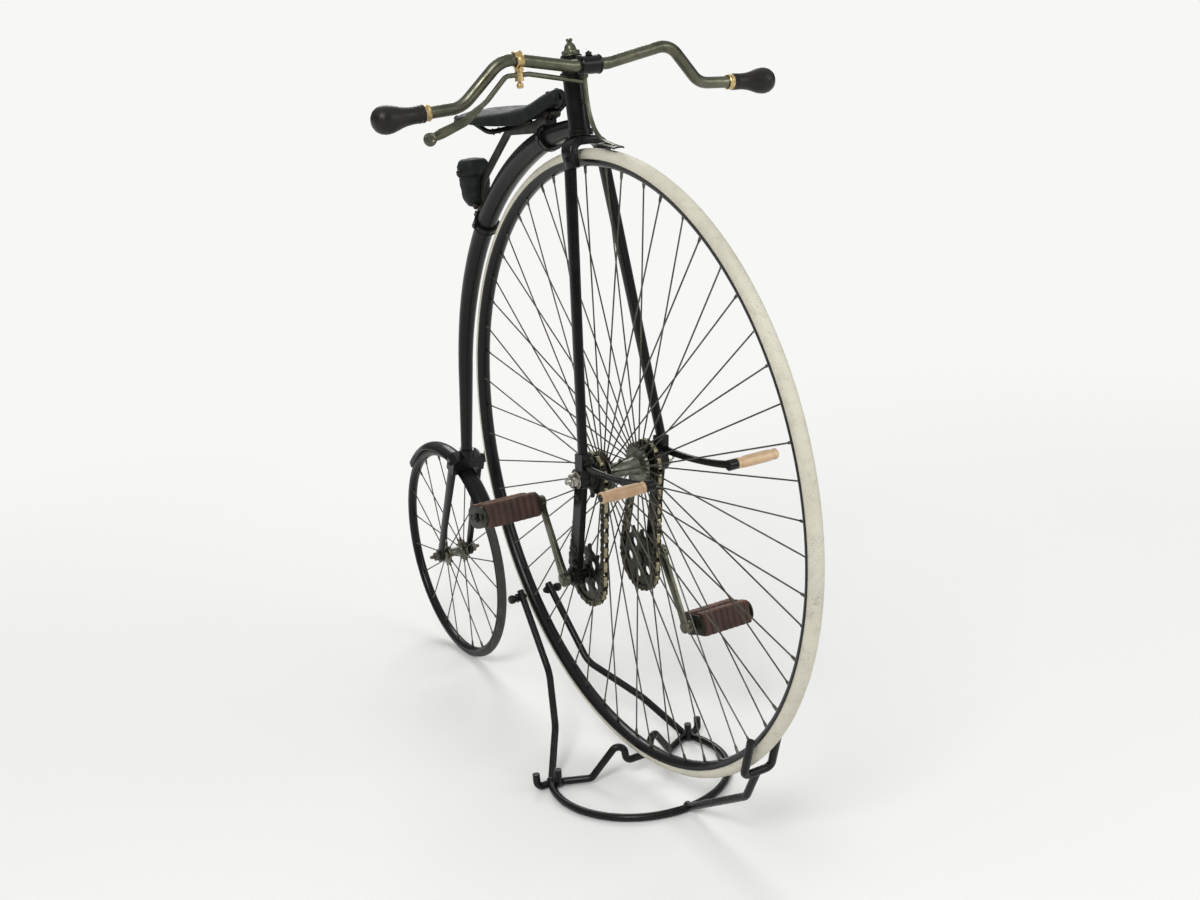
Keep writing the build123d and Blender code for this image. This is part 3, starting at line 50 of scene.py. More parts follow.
# Lengths are millimetres in the shared frame: X forward, Y left, Z up, floor at 0.
MM = 0.001
X, Y, UP = Vector((1, 0, 0)), Vector((0, 1, 0)), Vector((0, 0, 1))
SIDES = (-1, 1)  # right and left
OUTWARD = (-Y, Y)

SLOT_OF = {part["node"]: part["material_slot"] for part in frame["record"]["subparts"]}
BODY_OF = {node: body for body, nodes in frame["record"]["behaviour"]["bodies"].items() for node in nodes}


def wheel_place(tyre):
    """Centre and radius of a wheel, from its tyre's box."""
    low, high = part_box(tyre)
    return (low + high) * (0.5 / MM), (high.z - low.z) / MM / 2


FRONT, FRONT_RADIUS = wheel_place("front_tyre")
REAR, REAR_RADIUS = wheel_place("rear_tyre")


def front(x, y, z):
    """A point given from the front axle."""
    return Vector((FRONT.x + x, y, FRONT.z + z))


def polar(radius, angle):
    return radius * cos(angle), radius * sin(angle)


def wheelward(angle):
    """A direction in the wheels' plane, turned from forward towards up."""
    return Vector((cos(angle), 0, sin(angle)))


# Materials


def put(tree, socket, value):
    """Links a socket or sets its value; a colour comes without its alpha."""
    if isinstance(value, bpy.types.NodeSocket):
        tree.links.new(value, socket)
    else:
        socket.default_value = (*value, 1) if socket.type == "RGBA" else value


def add_node(tree, kind, inputs=None, **settings):
    node = tree.nodes.new("ShaderNode" + kind)
    for key, value in settings.items():
        setattr(node, key, value)
    for key, value in (inputs or {}).items():
        put(tree, node.inputs[key], value)
    return node


def ramp(tree, source, *stops):
    """A colour ramp of two stops, each a place and a grey or a colour."""
    node = add_node(tree, "ValToRGB", {"Fac": source})
    for element, (place, value) in zip(node.color_ramp.elements, stops):
        element.position = place
        element.color = (*value, 1) if isinstance(value, tuple) else (value, value, value, 1)
    return node.outputs["Color"]


def shaded(color, share):
    return tuple(value * share for value in color)


class Paint:
    """Wires procedural nodes into one Principled shader."""

    def __init__(self, name, **values):
        self.material = bpy.data.materials.new(name)
        self.material.use_nodes = True
        self.tree = self.material.node_tree
        self.shader = self.tree.nodes["Principled BSDF"]
        for key, value in values.items():
            put(self.tree, self.shader.inputs[key.replace("_", " ")], value)
        self.coords = self.node("TexCoord").outputs["Object"]

    def node(self, kind, inputs=None, **settings):
        return add_node(self.tree, kind, inputs, **settings)

    def noise(self, scale, detail=4.0, roughness=0.55, stretch=None):
        vector = self.coords
        if stretch:
            vector = self.node("Mapping", {"Vector": vector, "Scale": stretch}).outputs["Vector"]
        inputs = {"Vector": vector, "Scale": scale, "Detail": detail, "Roughness": roughness}
        return self.node("TexNoise", inputs).outputs["Fac"]

    def cells(self, scale, feature):
        inputs = {"Vector": self.coords, "Scale": scale}
        return self.node("TexVoronoi", inputs, feature=feature).outputs["Distance"]

    def ramp(self, source, *stops):
        return ramp(self.tree, source, *stops)

    def times(self, first, second):
        return self.node("Math", {0: first, 1: second}, operation="MULTIPLY").outputs[0]

    def mix(self, factor, first, second):
        """Blends two colours; 6, 7 and 2 are the node's colour sockets."""
        return self.node("Mix", {0: factor, 6: first, 7: second}, data_type="RGBA").outputs[2]

    def facing_up(self, low, high):
        """Share of the faces that point up: dust, rubbed wear with a painted sheen, and painted light on the tops."""
        normal = self.node("NewGeometry").outputs["Normal"]
        height = self.node("SeparateXYZ", {"Vector": normal}).outputs["Z"]
        return self.node("MapRange", {"Value": height, "From Min": low, "From Max": high}).outputs["Result"]

    def finish(self, color, rough, heights, strength, distance):
        """Joins colour, roughness and bumps, each bump on the one before, and gives the material."""
        bump = {"Strength": strength, "Distance": distance * MM}
        for height in heights:
            bump["Height"] = height
            bump["Normal"] = self.node("Bump", bump).outputs["Normal"]
        for name, source in (("Base Color", color), ("Roughness", rough), ("Normal", bump["Normal"])):
            put(self.tree, self.shader.inputs[name], source)
        return self.material


def enamel_paint(name, dark, light, wear):
    """Old black enamel: uneven sheen, a little dust on top and brown where it has worn."""
    paint = Paint(name, Coat_Weight=0.03, Coat_Roughness=0.14, Specular_IOR_Level=0.2)
    base = paint.ramp(paint.noise(9, 6), (0.3, dark), (0.7, light))
    worn = paint.ramp(paint.times(paint.noise(160, 5, 0.7), paint.noise(14, 4)), (0.40 - wear, 0.0), (0.47, 1.0))
    brown = paint.mix(worn, base, (0.060, 0.040, 0.027))
    # Grey dust on the faces that point up.
    dust_and_lit_top = paint.ramp(paint.times(paint.facing_up(0.6, 1.0), paint.noise(35, 5)), (0.3, 0.0), (0.95, 0.22))
    color = paint.mix(dust_and_lit_top, brown, (0.045, 0.043, 0.038))
    rough = paint.ramp(paint.noise(45, 5), (0.3, 0.2), (0.75, 0.36))
    return paint.finish(color, rough, (paint.noise(260, 4), paint.noise(28, 3)), 0.2, 0.3)


def old_metal(name, bright, dull, rust, roughness, rust_amount):
    """Bare metal with patina clouds, and patches of rust."""
    paint = Paint(name, Metallic=1.0)
    base = paint.ramp(paint.noise(22, 6, 0.6), (0.32, bright), (0.62, dull))
    spots = paint.times(paint.noise(70, 6, 0.7), paint.noise(12, 3))
    rusty = paint.ramp(spots, (0.34 - rust_amount, 0.0), (0.44 - rust_amount, 1.0))
    rough = paint.ramp(paint.noise(90, 5), (0.3, roughness), (0.7, roughness + 0.22))
    return paint.finish(paint.mix(rusty, base, rust), rough, (paint.noise(420, 4), paint.noise(60, 4)), 0.2, 0.3)


def solid_rubber(name, clean, grey, dirt):
    """Aged solid tyre: chalky surface, grey bloom, hair cracks and dirt."""
    paint = Paint(name)
    base = paint.ramp(paint.noise(7, 6, 0.6), (0.3, grey), (0.62, clean))
    spots = paint.ramp(paint.noise(55, 6, 0.7), (0.52, 0.0), (0.85, 0.8))
    edges = paint.cells(240, "DISTANCE_TO_EDGE")
    places = paint.ramp(paint.noise(18, 3), (0.45, 0.0), (0.65, 1.0))
    cracks = paint.times(paint.ramp(edges, (0.0, 1.0), (0.035, 0.0)), places)
    color = paint.mix(cracks, paint.mix(spots, base, dirt), shaded(dirt, 0.6))
    rough = paint.ramp(paint.noise(60, 4), (0.3, 0.48), (0.7, 0.72))
    return paint.finish(color, rough, (paint.noise(130, 5), edges), 0.3, 0.5)


def old_leather(name, dark, light, rub_and_sheen, matt=0.0):
    """Smooth hide with pores, creases, and rubbed wear with a painted sheen on faces that point up."""
    paint = Paint(name, Coat_Weight=0.03, Coat_Roughness=0.3, Specular_IOR_Level=0.3 - 0.6 * matt)
    crease = paint.noise(38, 6, 0.65, (1, 1.6, 1))
    base = paint.ramp(crease, (0.32, dark), (0.68, light))
    patches = paint.ramp(paint.noise(16, 5), (0.45, 0.0), (0.7, 0.7))
    # Upward faces take the last colour: partly rubbed wear, partly a painted sheen on the top.
    rubbed_and_sheen = paint.times(paint.facing_up(0.5, 1.0), patches)
    rough = paint.ramp(paint.noise(80, 5), (0.3, 0.34 + matt), (0.72, 0.54 + matt))
    return paint.finish(paint.mix(rubbed_and_sheen, base, rub_and_sheen), rough, (paint.cells(520, "SMOOTH_F1"), crease), 0.35, 0.6)


def turned_wood(name, light, dark):
    """Wood turned about the Y axis, waxed."""
    paint = Paint(name, Coat_Weight=0.3, Coat_Roughness=0.25)
    streak = paint.noise(60, 6, 0.6, (1.0, 0.06, 1.0))
    base = paint.ramp(streak, (0.35, dark), (0.6, light))
    stain = paint.ramp(paint.noise(25, 4), (0.45, 0.0), (0.8, 0.6))
    rough = paint.ramp(streak, (0.3, 0.35), (0.7, 0.5))
    grain = paint.noise(300, 5, 0.6, (1.0, 0.08, 1.0))
    return paint.finish(paint.mix(stain, base, shaded(dark, 0.45)), rough, (grain,), 0.3, 0.4)


def block_rubber(name, dark, light):
    """Perished brown rubber whose upward faces are a lighter red-brown than its sides: painted light on the tops,
    painted shade on the sides.
    """
    paint = Paint(name)
    base = paint.ramp(paint.noise(30, 6, 0.6), (0.3, dark), (0.7, light))
    # Painted light: faces that point up turn lighter red-brown, and the sides stay dark as painted shade.
    dust_and_lit_top = paint.ramp(paint.times(paint.facing_up(0.4, 1.0), paint.noise(60, 4)), (0.2, 0.0), (0.8, 0.6))
    rough = paint.ramp(paint.noise(70, 4), (0.3, 0.55), (0.7, 0.8))
    heights = paint.noise(150, 5), paint.cells(110, "DISTANCE_TO_EDGE")
    return paint.finish(paint.mix(dust_and_lit_top, base, (0.27, 0.115, 0.055)), rough, heights, 0.3, 0.6)


# Bright patches, dull patches, rust, roughness and the amount of rust
METALS = {
    "dull_steel": ((0.165, 0.168, 0.12), (0.082, 0.084, 0.06), (0.07, 0.052, 0.034), 0.26, 0.04),
    "hub_steel": ((0.24, 0.25, 0.205), (0.12, 0.122, 0.095), (0.09, 0.065, 0.04), 0.3, 0.05),
    "spoke_steel": ((0.15, 0.145, 0.12), (0.075, 0.07, 0.058), (0.07, 0.05, 0.035), 0.34, 0.06),
    "sprocket_steel": ((0.055, 0.057, 0.046), (0.025, 0.026, 0.021), (0.05, 0.036, 0.024), 0.34, 0.05),
    # chain_steel's pale tone is a painted highlight on the chain's blocks; plate_steel's darker tone is painted shade
    # in the gaps between them.
    "chain_steel": ((0.42, 0.385, 0.25), (0.24, 0.215, 0.14), (0.12, 0.08, 0.045), 0.28, 0.03),
    "plate_steel": ((0.085, 0.08, 0.056), (0.04, 0.038, 0.027), (0.06, 0.042, 0.026), 0.32, 0.04),
    "dark_steel": ((0.058, 0.058, 0.048), (0.025, 0.0245, 0.020), (0.045, 0.033, 0.023), 0.36, 0.04),
    "bright_steel": ((0.66, 0.65, 0.60), (0.40, 0.385, 0.34), (0.2, 0.12, 0.07), 0.22, 0.02),
    "axle_steel": ((0.20, 0.195, 0.165), (0.10, 0.095, 0.08), (0.09, 0.06, 0.04), 0.3, 0.04),
    "brass": ((0.66, 0.50, 0.24), (0.40, 0.29, 0.13), (0.16, 0.11, 0.06), 0.28, 0.03),
}
MATERIALS = {name: old_metal(name, *values) for name, values in METALS.items()} | {
    "black_enamel": enamel_paint("black_enamel", (0.0035, 0.0036, 0.0034), (0.007, 0.0072, 0.0068), 0.0),
    "stand_paint": enamel_paint("stand_paint", (0.005, 0.005, 0.0048), (0.011, 0.011, 0.0105), 0.03),
    "tyre_rubber": solid_rubber("front_tyre_rubber", (0.60, 0.575, 0.475), (0.52, 0.495, 0.405), (0.33, 0.30, 0.23)),
    "dark_rubber": solid_rubber(
        "rear_tyre_rubber", (0.022, 0.0215, 0.019), (0.012, 0.0118, 0.0105), (0.045, 0.042, 0.036)
    ),
    # Each leather's last colour goes on its upward faces: rubbed wear and a painted sheen.
    "black_horn": old_leather("black_horn", (0.005, 0.0048, 0.0045), (0.010, 0.0085, 0.007), (0.014, 0.012, 0.009)),
    "black_leather": old_leather(
        "black_leather", (0.0050, 0.0062, 0.0054), (0.013, 0.017, 0.0145), (0.030, 0.042, 0.035), 0.2
    ),
    "pale_wood": turned_wood("pale_wood", (0.62, 0.44, 0.26), (0.38, 0.23, 0.12)),
    "pedal_rubber": block_rubber("pedal_rubber", (0.026, 0.012, 0.008), (0.062, 0.025, 0.016)),
}


# Mesh helpers


PLATE_BEVEL = 0.7


class Shape:
    """Points and faces gathered in millimetres, then made into one object."""

    def __init__(self):
        self.points, self.faces = [], []

    def skin(self, rows, ring=True, loop=False, caps=True):
        """Joins rows of points. ring closes each row, loop joins the last row to the first, caps fill the ends."""
        start, size, count = len(self.points), len(rows[0]), len(rows)
        for i in range(count if loop else count - 1):
            a, b = start + i * size, start + (i + 1) % count * size
            for j in range(size if ring else size - 1):
                k = (j + 1) % size
                self.faces.append([a + j, a + k, b + k, b + j])
        self.points += [point for row in rows for point in row]
        if caps and not loop:
            end = len(self.points)
            self.faces += [list(range(start, start + size))[::-1], list(range(end - size, end))]

    def tube(self, path, section, scales=None, up=None, closed=False):
        """Sweeps a 2D section along a path of points."""
        count = len(path)
        rows = []
        normal = None
        for i, place in enumerate(path):
            before = path[i - 1] if i or closed else path[0]
            after = path[(i + 1) % count] if i + 1 < count or closed else path[-1]
            along = (after - before).normalized()
            if up is None:
                normal = along.orthogonal().normalized() if normal is None else normal
                side = normal = (normal - along * normal.dot(along)).normalized()
            else:
                side = up.cross(along).normalized()
            other = along.cross(side)
            wide, high = scales[i] if scales else (1, 1)
            rows.append([place + side * (x * wide) + other * (y * high) for x, y in section])
        self.skin(rows, loop=closed)

    def lathe(self, profile, centre, axis, steps, closed=False):
        """Turns (radius, height) pairs about an axis through centre."""
        axis = Vector(axis).normalized()
        across = axis.orthogonal().normalized()
        other = axis.cross(across)
        rows = []
        for i in range(steps):
            angle = tau * i / steps
            out = across * cos(angle) + other * sin(angle)
            rows.append([centre + out * radius + axis * height for radius, height in profile])
        self.skin(rows, closed, True)

    def plate(self, outlines, thickness, origin, x_axis, y_axis):
        """A flat piece with rounded edges about its middle plane; outlines after the first are holes."""
        curve = bpy.data.curves.new("outline", "CURVE")
        curve.dimensions = "2D"
        curve.fill_mode = "BOTH"
        curve.extrude = thickness / 2 - PLATE_BEVEL
        curve.bevel_depth = PLATE_BEVEL
        curve.bevel_resolution = 1
        curve.offset = -PLATE_BEVEL
        for outline in outlines:
            spline = curve.splines.new("POLY")
            spline.points.add(len(outline) - 1)
            spline.use_cyclic_u = True
            for point, (x, y) in zip(spline.points, outline):
                point.co = (x, y, 0, 1)
        holder = bpy.data.objects.new("outline", curve)
        scene.collection.objects.link(holder)
        bpy.context.view_layer.update()
        mesh = bpy.data.meshes.new_from_object(holder.evaluated_get(bpy.context.evaluated_depsgraph_get()))
        turn = Matrix((x_axis, y_axis, x_axis.cross(y_axis))).transposed()
        start = len(self.points)
        self.points += [origin + turn @ vertex.co for vertex in mesh.vertices]
        self.faces += [[start + i for i in polygon.vertices] for polygon in mesh.polygons]
        bpy.data.objects.remove(holder)
        bpy.data.curves.remove(curve)
        bpy.data.meshes.remove(mesh)

    def make(self, name, body, slot, look=None, sharp=35.0):
        """One object on its body; look is its material's name where that isn't the slot's."""
        mesh = bpy.data.meshes.new(name)
        mesh.from_pydata([p * MM for p in self.points], [], self.faces)
        mesh.validate()
        work = bmesh.new()
        work.from_mesh(mesh)
        bmesh.ops.remove_doubles(work, verts=work.verts, dist=0.01 * MM)
        bmesh.ops.recalc_face_normals(work, faces=work.faces)
        work.to_mesh(mesh)
        work.free()
        mesh.materials.append(MATERIALS[look or slot])
        mesh.shade_smooth()
        mesh.set_sharp_from_angle(angle=radians(sharp))
        piece = bpy.data.objects.new(name, mesh)
        scene.collection.objects.link(piece)
        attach(piece, body)
        return piece

    def dress(self, node, look=None, name=None, sharp=35.0):
        """The piece that is seen instead of a frame node."""
        piece = self.make(name or node + "_dressed", BODY_OF[node], SLOT_OF[node], look, sharp)
        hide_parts(node)
        return piece


def circle(radius, count):
    return [polar(radius, tau * i / count) for i in range(count)]


def hole(x, y, radius, count):
    return [(x + a, y + b) for a, b in circle(radius, count)][::-1]


def rectangle(width, height, corner, steps):
    """A rectangle with round corners."""
    points = []
    for cx, cy, first in ((1, 1, 0), (-1, 1, 90), (-1, -1, 180), (1, -1, 270)):
        for i in range(steps + 1):
            x, y = polar(corner, radians(first + 90 * i / steps))
            points.append((cx * (width / 2 - corner) + x, cy * (height / 2 - corner) + y))
    return points


def filleted(points, radius, steps, closed=False):
    """A run of straight stretches with round bends, as a list of points."""
    result = [] if closed else [points[0]]
    for i in range(len(points)) if closed else range(1, len(points) - 1):
        here = points[i]
        one, two = (points[i - 1] - here).normalized(), (points[(i + 1) % len(points)] - here).normalized()
        angle = one.angle(two)
        reach = radius / tan(angle / 2)
        middle = here + (one + two).normalized() * (radius / sin(angle / 2))
        a, b = here + one * reach - middle, here + two * reach - middle
        span = a.angle(b)
        for j in range(steps + 1):
            t = j / steps
            result.append(middle + (a * sin((1 - t) * span) + b * sin(t * span)) / sin(span))
    return result if closed else result + [points[-1]]


def route(points, radius, step, steps=8):
    """A filleted run with points added along its long stretches."""
    path = filleted(points, radius, steps)
    result = [path[0]]
    for a, b in zip(path, path[1:]):
        count = max(1, int((b - a).length / step))
        result += [a.lerp(b, i / count) for i in range(1, count + 1)]
    return result


def spline_rows(rows, count):
    """Smooth stations through the given rows."""
    result = []
    for i in range(count):
        t = i / (count - 1) * (len(rows) - 1)
        k = min(int(t), len(rows) - 2)
        u = t - k
        near = [rows[min(max(k + step, 0), len(rows) - 1)] for step in (-1, 0, 1, 2)]
        result.append([
            0.5 * (2 * q + (r - p) * u + (2 * p - 5 * q + 4 * r - s) * u * u + (3 * q - p - 3 * r + s) * u**3)
            for p, q, r, s in zip(*near)
        ])
    return result


def squarish(angle, power):
    """Cosine and sine of a circle drawn out towards a square."""
    return [copysign(abs(value) ** (2 / power), value) for value in (cos(angle), sin(angle))]


RAKE = radians(4.0)


def steered(x, y, z):
    """A point of the steering frame, whose Z leans back by the rake."""
    return FRONT + Vector((x * cos(RAKE) - z * sin(RAKE), y, x * sin(RAKE) + z * cos(RAKE)))


STEER_UP = (steered(0, 0, 1) - FRONT).normalized()


def nut(shape, centre, axis, low, high, across, chamfer, start=0.0):
    """Hexagon nut whose corners are turned off at both faces."""
    axis = Vector(axis).normalized()
    side = axis.orthogonal().normalized()
    other = axis.cross(side)
    face, corner, steps = across * 0.515, across / 2 / cos(pi / 6), 36
    rows = []
    for height, limit in ((low, face), (low + chamfer, corner), (high - chamfer, corner), (high, face)):
        row = []
        for i in range(steps):
            angle = tau * i / steps
            flat = (angle + start) % (pi / 3) - pi / 6
            out = side * cos(angle) + other * sin(angle)
            row.append(centre + axis * height + out * min(limit, across / 2 / cos(flat)))
        rows.append(row)
    shape.skin(rows)


# Profiles for the lathe: (radius, height) pairs


def disc(low, high, radius, edge):
    """A turned disc with broken edges."""
    return [
        (0, low), (radius - edge, low), (radius, low + edge), (radius, high - edge), (radius - edge, high), (0, high),
    ]


def thread(radius, low, high, pitch=1.3):
    """A threaded end."""
    profile = [(0, low)]
    count = max(2, int((high - low - 1) / pitch))
    for i in range(count):
        h = low + (high - low - 1) * i / count
        profile += [(radius, h), (radius - 0.45, h + pitch / 2)]
    return profile + [(radius - 0.2, high - 1), (radius - 1, high), (0, high)]


def both_ways(half):
    """Given from the middle outwards, and the same on the other side."""
    return [(r, -h) for r, h in reversed(half)] + (half if half[0][1] else half[1:])


def bead(inner, outer, at, foot, top):
    """A raised ring: foot and top are half its width on the surface and at its crest."""
    return [(inner, at - foot), (outer, at - top), (outer, at + top), (inner, at + foot)]


def bolt(shape, centre, axis, across, head, stub):
    """Bolt head with a washer, standing on centre."""
    shape.lathe(disc(0, 1.0, across * 0.68, 0.3), centre, axis, 24)
    nut(shape, centre, axis, 1.0, 1.0 + head, across, 0.6)
    shape.lathe(thread(across * 0.28, 1.0 + head, 1.0 + head + stub, 0.9), centre, axis, 14)


# Wheels
RIM_FROM, RIM_SPAN, RIM_STEPS = 108, 144, 16  # degrees of the tyre's section that the rim holds
NIPPLE_HALF = 2.0  # the spokes' ends in the rim, from its middle


def make_wheel(prefix, centre, radius, section, wall, rubber, steps):
    middle = radius - section / 2
    tyre = Shape()
    tyre.lathe([(middle + x, y) for x, y in circle(section / 2, 24)], centre, Y, steps, True)
    tyre.dress(prefix + "_tyre", rubber)
    reach = section / 2 + 0.3
    bed, back = [], []
    for i in range(RIM_STEPS + 1):
        x, y = polar(reach, radians(RIM_FROM + RIM_SPAN * i / RIM_STEPS))
        bed.append((middle + x, y))
        deep = reach + (wall - 1.0) * sin(pi * i / RIM_STEPS) ** 0.6 + 0.9
        x, y = polar(deep, radians(RIM_FROM + RIM_SPAN - RIM_SPAN * i / RIM_STEPS))
        back.append((middle + x, y * 0.99))
    rim = Shape()
    rim.lathe(bed + back, centre, Y, steps, True)
    rim.dress(prefix + "_rim")


def make_spokes(prefix, centre, count, hub_radius, hub_half, rim_radius):
    """Direct spokes: screwed into the flange with a small lock nut, with a headed end in the rim."""
    spokes = Shape()
    for number in range(count):
        side = 1 if number % 2 else -1
        out = wheelward(tau * (number + 0.5) / count)
        start = centre + out * hub_radius + Y * (side * hub_half)
        end = centre + out * rim_radius + Y * (side * NIPPLE_HALF)
        length = (end - start).length
        profile = [
            (0, 0), (2.3, 0.1), (2.3, 8.5), (1.9, 9.2), (1.25, 9.6), (1.2, 14), (1.2, length - 14),
            (1.5, length - 12), (2.1, length - 10.5), (2.4, length - 3), (2.4, length - 0.2), (0, length),
        ]
        spokes.lathe(profile, start, end - start, 8)
    spokes.dress(prefix + "_spokes", "spoke_steel", sharp=50)


make_wheel("front", FRONT, FRONT_RADIUS, section=22.0, wall=3.6, rubber="tyre_rubber", steps=192)
make_wheel("rear", REAR, REAR_RADIUS, section=16.0, wall=3.0, rubber="dark_rubber", steps=112)
make_spokes("front", FRONT, count=56, hub_radius=26.0, hub_half=30.25, rim_radius=458.9)
make_spokes("rear", REAR, count=20, hub_radius=16.0, hub_half=17.25, rim_radius=197.0)


def hub_profile(half, barrel, waist, flange_at, flange_thick, flange, bore):
    """A turned hub: barrel ends, flanges and a waisted middle."""
    a, b = flange_at - flange_thick / 2, flange_at + flange_thick / 2
    return both_ways([
        (waist, 0), (waist, a * 0.45), (waist + 0.9, a * 0.68), (barrel + 1.5, a - 2.2), (barrel + 5, a - 0.2),
        (flange - 5.5, a), (flange - 4.5, a - 0.5), (flange - 0.8, a - 0.2), (flange, a + 0.8), (flange, b - 0.8),
        (flange - 0.8, b + 0.1), (flange - 4.5, b + 0.3), (flange - 5.5, b), (barrel + 3, b + 0.2),
        (barrel + 0.4, b + 2.5), (barrel, b + 4), (barrel, half - 3), (barrel - 0.7, half - 2.6),
        (barrel - 0.7, half - 1.6), (barrel, half - 1.2), (barrel - 0.5, half), (bore, half),
    ])


hub = Shape()
turned = hub_profile(half=60.0, barrel=13.5, waist=12.0, flange_at=31.0, flange_thick=5.0, flange=31.0, bore=7.3)
hub.lathe(turned, FRONT, Y, 72)
oiler = [(0, 0), (3.4, 0), (3.4, 2.2), (2.6, 2.8), (2.6, 4.2), (1.6, 5.2), (0, 5.4)]
hub.lathe(oiler, FRONT + UP * 11.5, UP, 18)
hub.dress("front_hub", "hub_steel")
hub = Shape()
turned = hub_profile(half=25.0, barrel=10.0, waist=8.6, flange_at=18.0, flange_thick=4.0, flange=21.0, bore=5.2)
hub.lathe(turned, REAR, Y, 56)
hub.dress("rear_hub", "hub_steel")

# Drive: the loop's own frame has X across it, forwards, and Y down to the crank's axle
PITCH, UPPER, LOWER, LINKS = 25.4, 8, 12, 24
UPPER_R = PITCH / 2 / sin(pi / UPPER)
LOWER_R = PITCH / 2 / sin(pi / LOWER)
DRIVE = 174.8713  # from the front axle to the crank's
DRIVE_LEAN = radians(15.5)
CHAIN_LINE = 48.0
SPROCKET_THICK = 5.0
DOWN = Vector((-sin(DRIVE_LEAN), 0, -cos(DRIVE_LEAN)))
AHEAD = Vector((-DOWN.z, 0, DOWN.x))
CRANK = FRONT + DOWN * DRIVE
LEAN = asin((LOWER_R - UPPER_R) / DRIVE)
STRAIGHT = DRIVE * cos(LEAN)
UPPER_WRAP = UPPER_R * (pi - 2 * LEAN)
LOWER_WRAP = LOWER_R * (pi + 2 * LEAN)
LOOP = 2 * STRAIGHT + UPPER_WRAP + LOWER_WRAP
PIN_HALF = 7.6  # a gap's pins from its middle
BLOCK_HALF, PLATE_AT, PLATE_THICK = 3.1, 4.15, 1.6
TOOTH_HALF = 5.4  # at its root


def loop_place(distance):
    """A point of the chain's loop, in the wheel's middle plane."""
    away = distance % LOOP
    c, s = polar(1, LEAN)
    if away < STRAIGHT:
        x, y = UPPER_R * c + away * s, away * c - UPPER_R * s
    elif away < STRAIGHT + LOWER_WRAP:
        x, y = polar(LOWER_R, (away - STRAIGHT) / LOWER_R - LEAN)
        y += DRIVE
    elif away < 2 * STRAIGHT + LOWER_WRAP:
        run = away - STRAIGHT - LOWER_WRAP
        x, y = run * s - LOWER_R * c, DRIVE - LOWER_R * s - run * c
    else:
        x, y = polar(UPPER_R, pi + LEAN + (away - 2 * STRAIGHT - LOWER_WRAP) / UPPER_R)
    return FRONT + AHEAD * x + DOWN * y


def link(shape, one, two, radius, waist, low, high):
    """Figure of eight plate or block between two pins, from low to high along Y."""
    along = (two - one).normalized()
    side = along.cross(Y)
    length = (two - one).length
    flat = []
    for end, first, dip in ((0, 90, -waist), (length, -90, waist)):
        for i in range(9):
            x, y = polar(radius, radians(first + 22.5 * i))
            flat.append((end + x, y))
        flat.append((length / 2, dip))
    rows = []
    for height, wide, long in ((low, 0.9, 0.96), (low + 0.3, 1, 1), (high - 0.3, 1, 1), (high, 0.9, 0.96)):
        middle = one + along * (length / 2) + Y * height
        rows.append([middle + along * ((x - length / 2) * long) + side * (y * wide) for x, y in flat])
    shape.skin(rows)


def make_chain(name, side):
    """Block chain: solid blocks on the pins' pairs, plates over the gaps where the teeth come."""
    blocks, plates = Shape(), Shape()
    middle = side * CHAIN_LINE
    for number in range(LINKS):
        gap = LOOP - UPPER_WRAP / 2 + LOOP / LINKS * number
        one, two, three = [loop_place(gap + d) for d in (-PIN_HALF, PIN_HALF, LOOP / LINKS - PIN_HALF)]
        link(blocks, two, three, 4.7, 3.7, middle - BLOCK_HALF, middle + BLOCK_HALF)
        for face in SIDES:
            low = middle + face * PLATE_AT - PLATE_THICK / 2
            link(plates, one, two, 5.3, 3.9, low, low + PLATE_THICK)
            for pin in (one, two):
                rivet = [(0, 0), (2.4, 0), (2.3, 0.8), (1.5, 1.3), (0, 1.5)]
                plates.lathe(rivet, pin + Y * (middle + face * 4.8), Y * face, 10)
    # The blocks' pale steel is a painted highlight; the plates' darker steel is painted shade.
    blocks.make(name + "_blocks", "fork", "dark_steel", "chain_steel")
    plates.dress(name, "plate_steel", name + "_plates")


def toothed(teeth, radius, first):
    """Outline of a block chain's sprocket; first is a tooth's direction in degrees."""
    root, tip = radius - 5.3, radius + 4.6
    flank = [(root, TOOTH_HALF), (root + 2.5, 4.0), (radius, 3.1), (tip - 1, 2.1), (tip, 1.1)]
    valley = tau / teeth - 2 * TOOTH_HALF / root
    turns = [(r, -half / r) for r, half in flank] + [(r, half / r) for r, half in reversed(flank)]
    turns += [(root, TOOTH_HALF / root + valley * part) for part in (0.4, 0.6)]
    outline = []
    for number in range(teeth):
        middle = radians(first) + tau * number / teeth
        outline += [polar(r, middle + turn) for r, turn in turns]
    return outline


upper = Shape()
for out in OUTWARD:
    middle = FRONT + out * CHAIN_LINE
    outlines = [toothed(UPPER, UPPER_R, 90.0), hole(0, 0, 13.3, 32)]
    upper.plate(outlines, SPROCKET_THICK, middle, AHEAD, DOWN)
    upper.lathe(both_ways([(20, 2), (20, 3.8), (19, 4.5), (13.6, 4.5)]), middle, Y, 48)
    for i in range(4):
        x, y = polar(24, radians(22.5 + 90 * i))
        place = middle + AHEAD * x - DOWN * y + out * (SPROCKET_THICK / 2)
        upper.lathe([(0, 0), (2.6, 0), (2.4, 1), (1.4, 1.6), (0, 1.7)], place, out, 14)
upper.dress("hub_sprockets", "sprocket_steel")
make_chain("left_chain", 1)
make_chain("right_chain", -1)

# Cranks and pedals
CRANK_LENGTH = 127.0
CRANK_IN, CRANK_OUT, PEDAL_IN, PEDAL_OUT = 84.5, 95.5, 103.5, 201.5
PEDAL_LEAN = radians(14.0)
LONG = wheelward(PEDAL_LEAN)
HIGH = LONG.cross(Y)
RIBS = 8  # on each pedal rubber
RIB_SHAPE = (  # place in the rib, width and height
    (0.0, 0.84, 0.985), (0.13, 0.86, 0.987), (0.2, 0.975, 0.998), (0.3, 1.0, 1.0), (0.74, 1.0, 1.0),
    (0.84, 0.975, 0.998), (0.9, 0.86, 0.987),
)


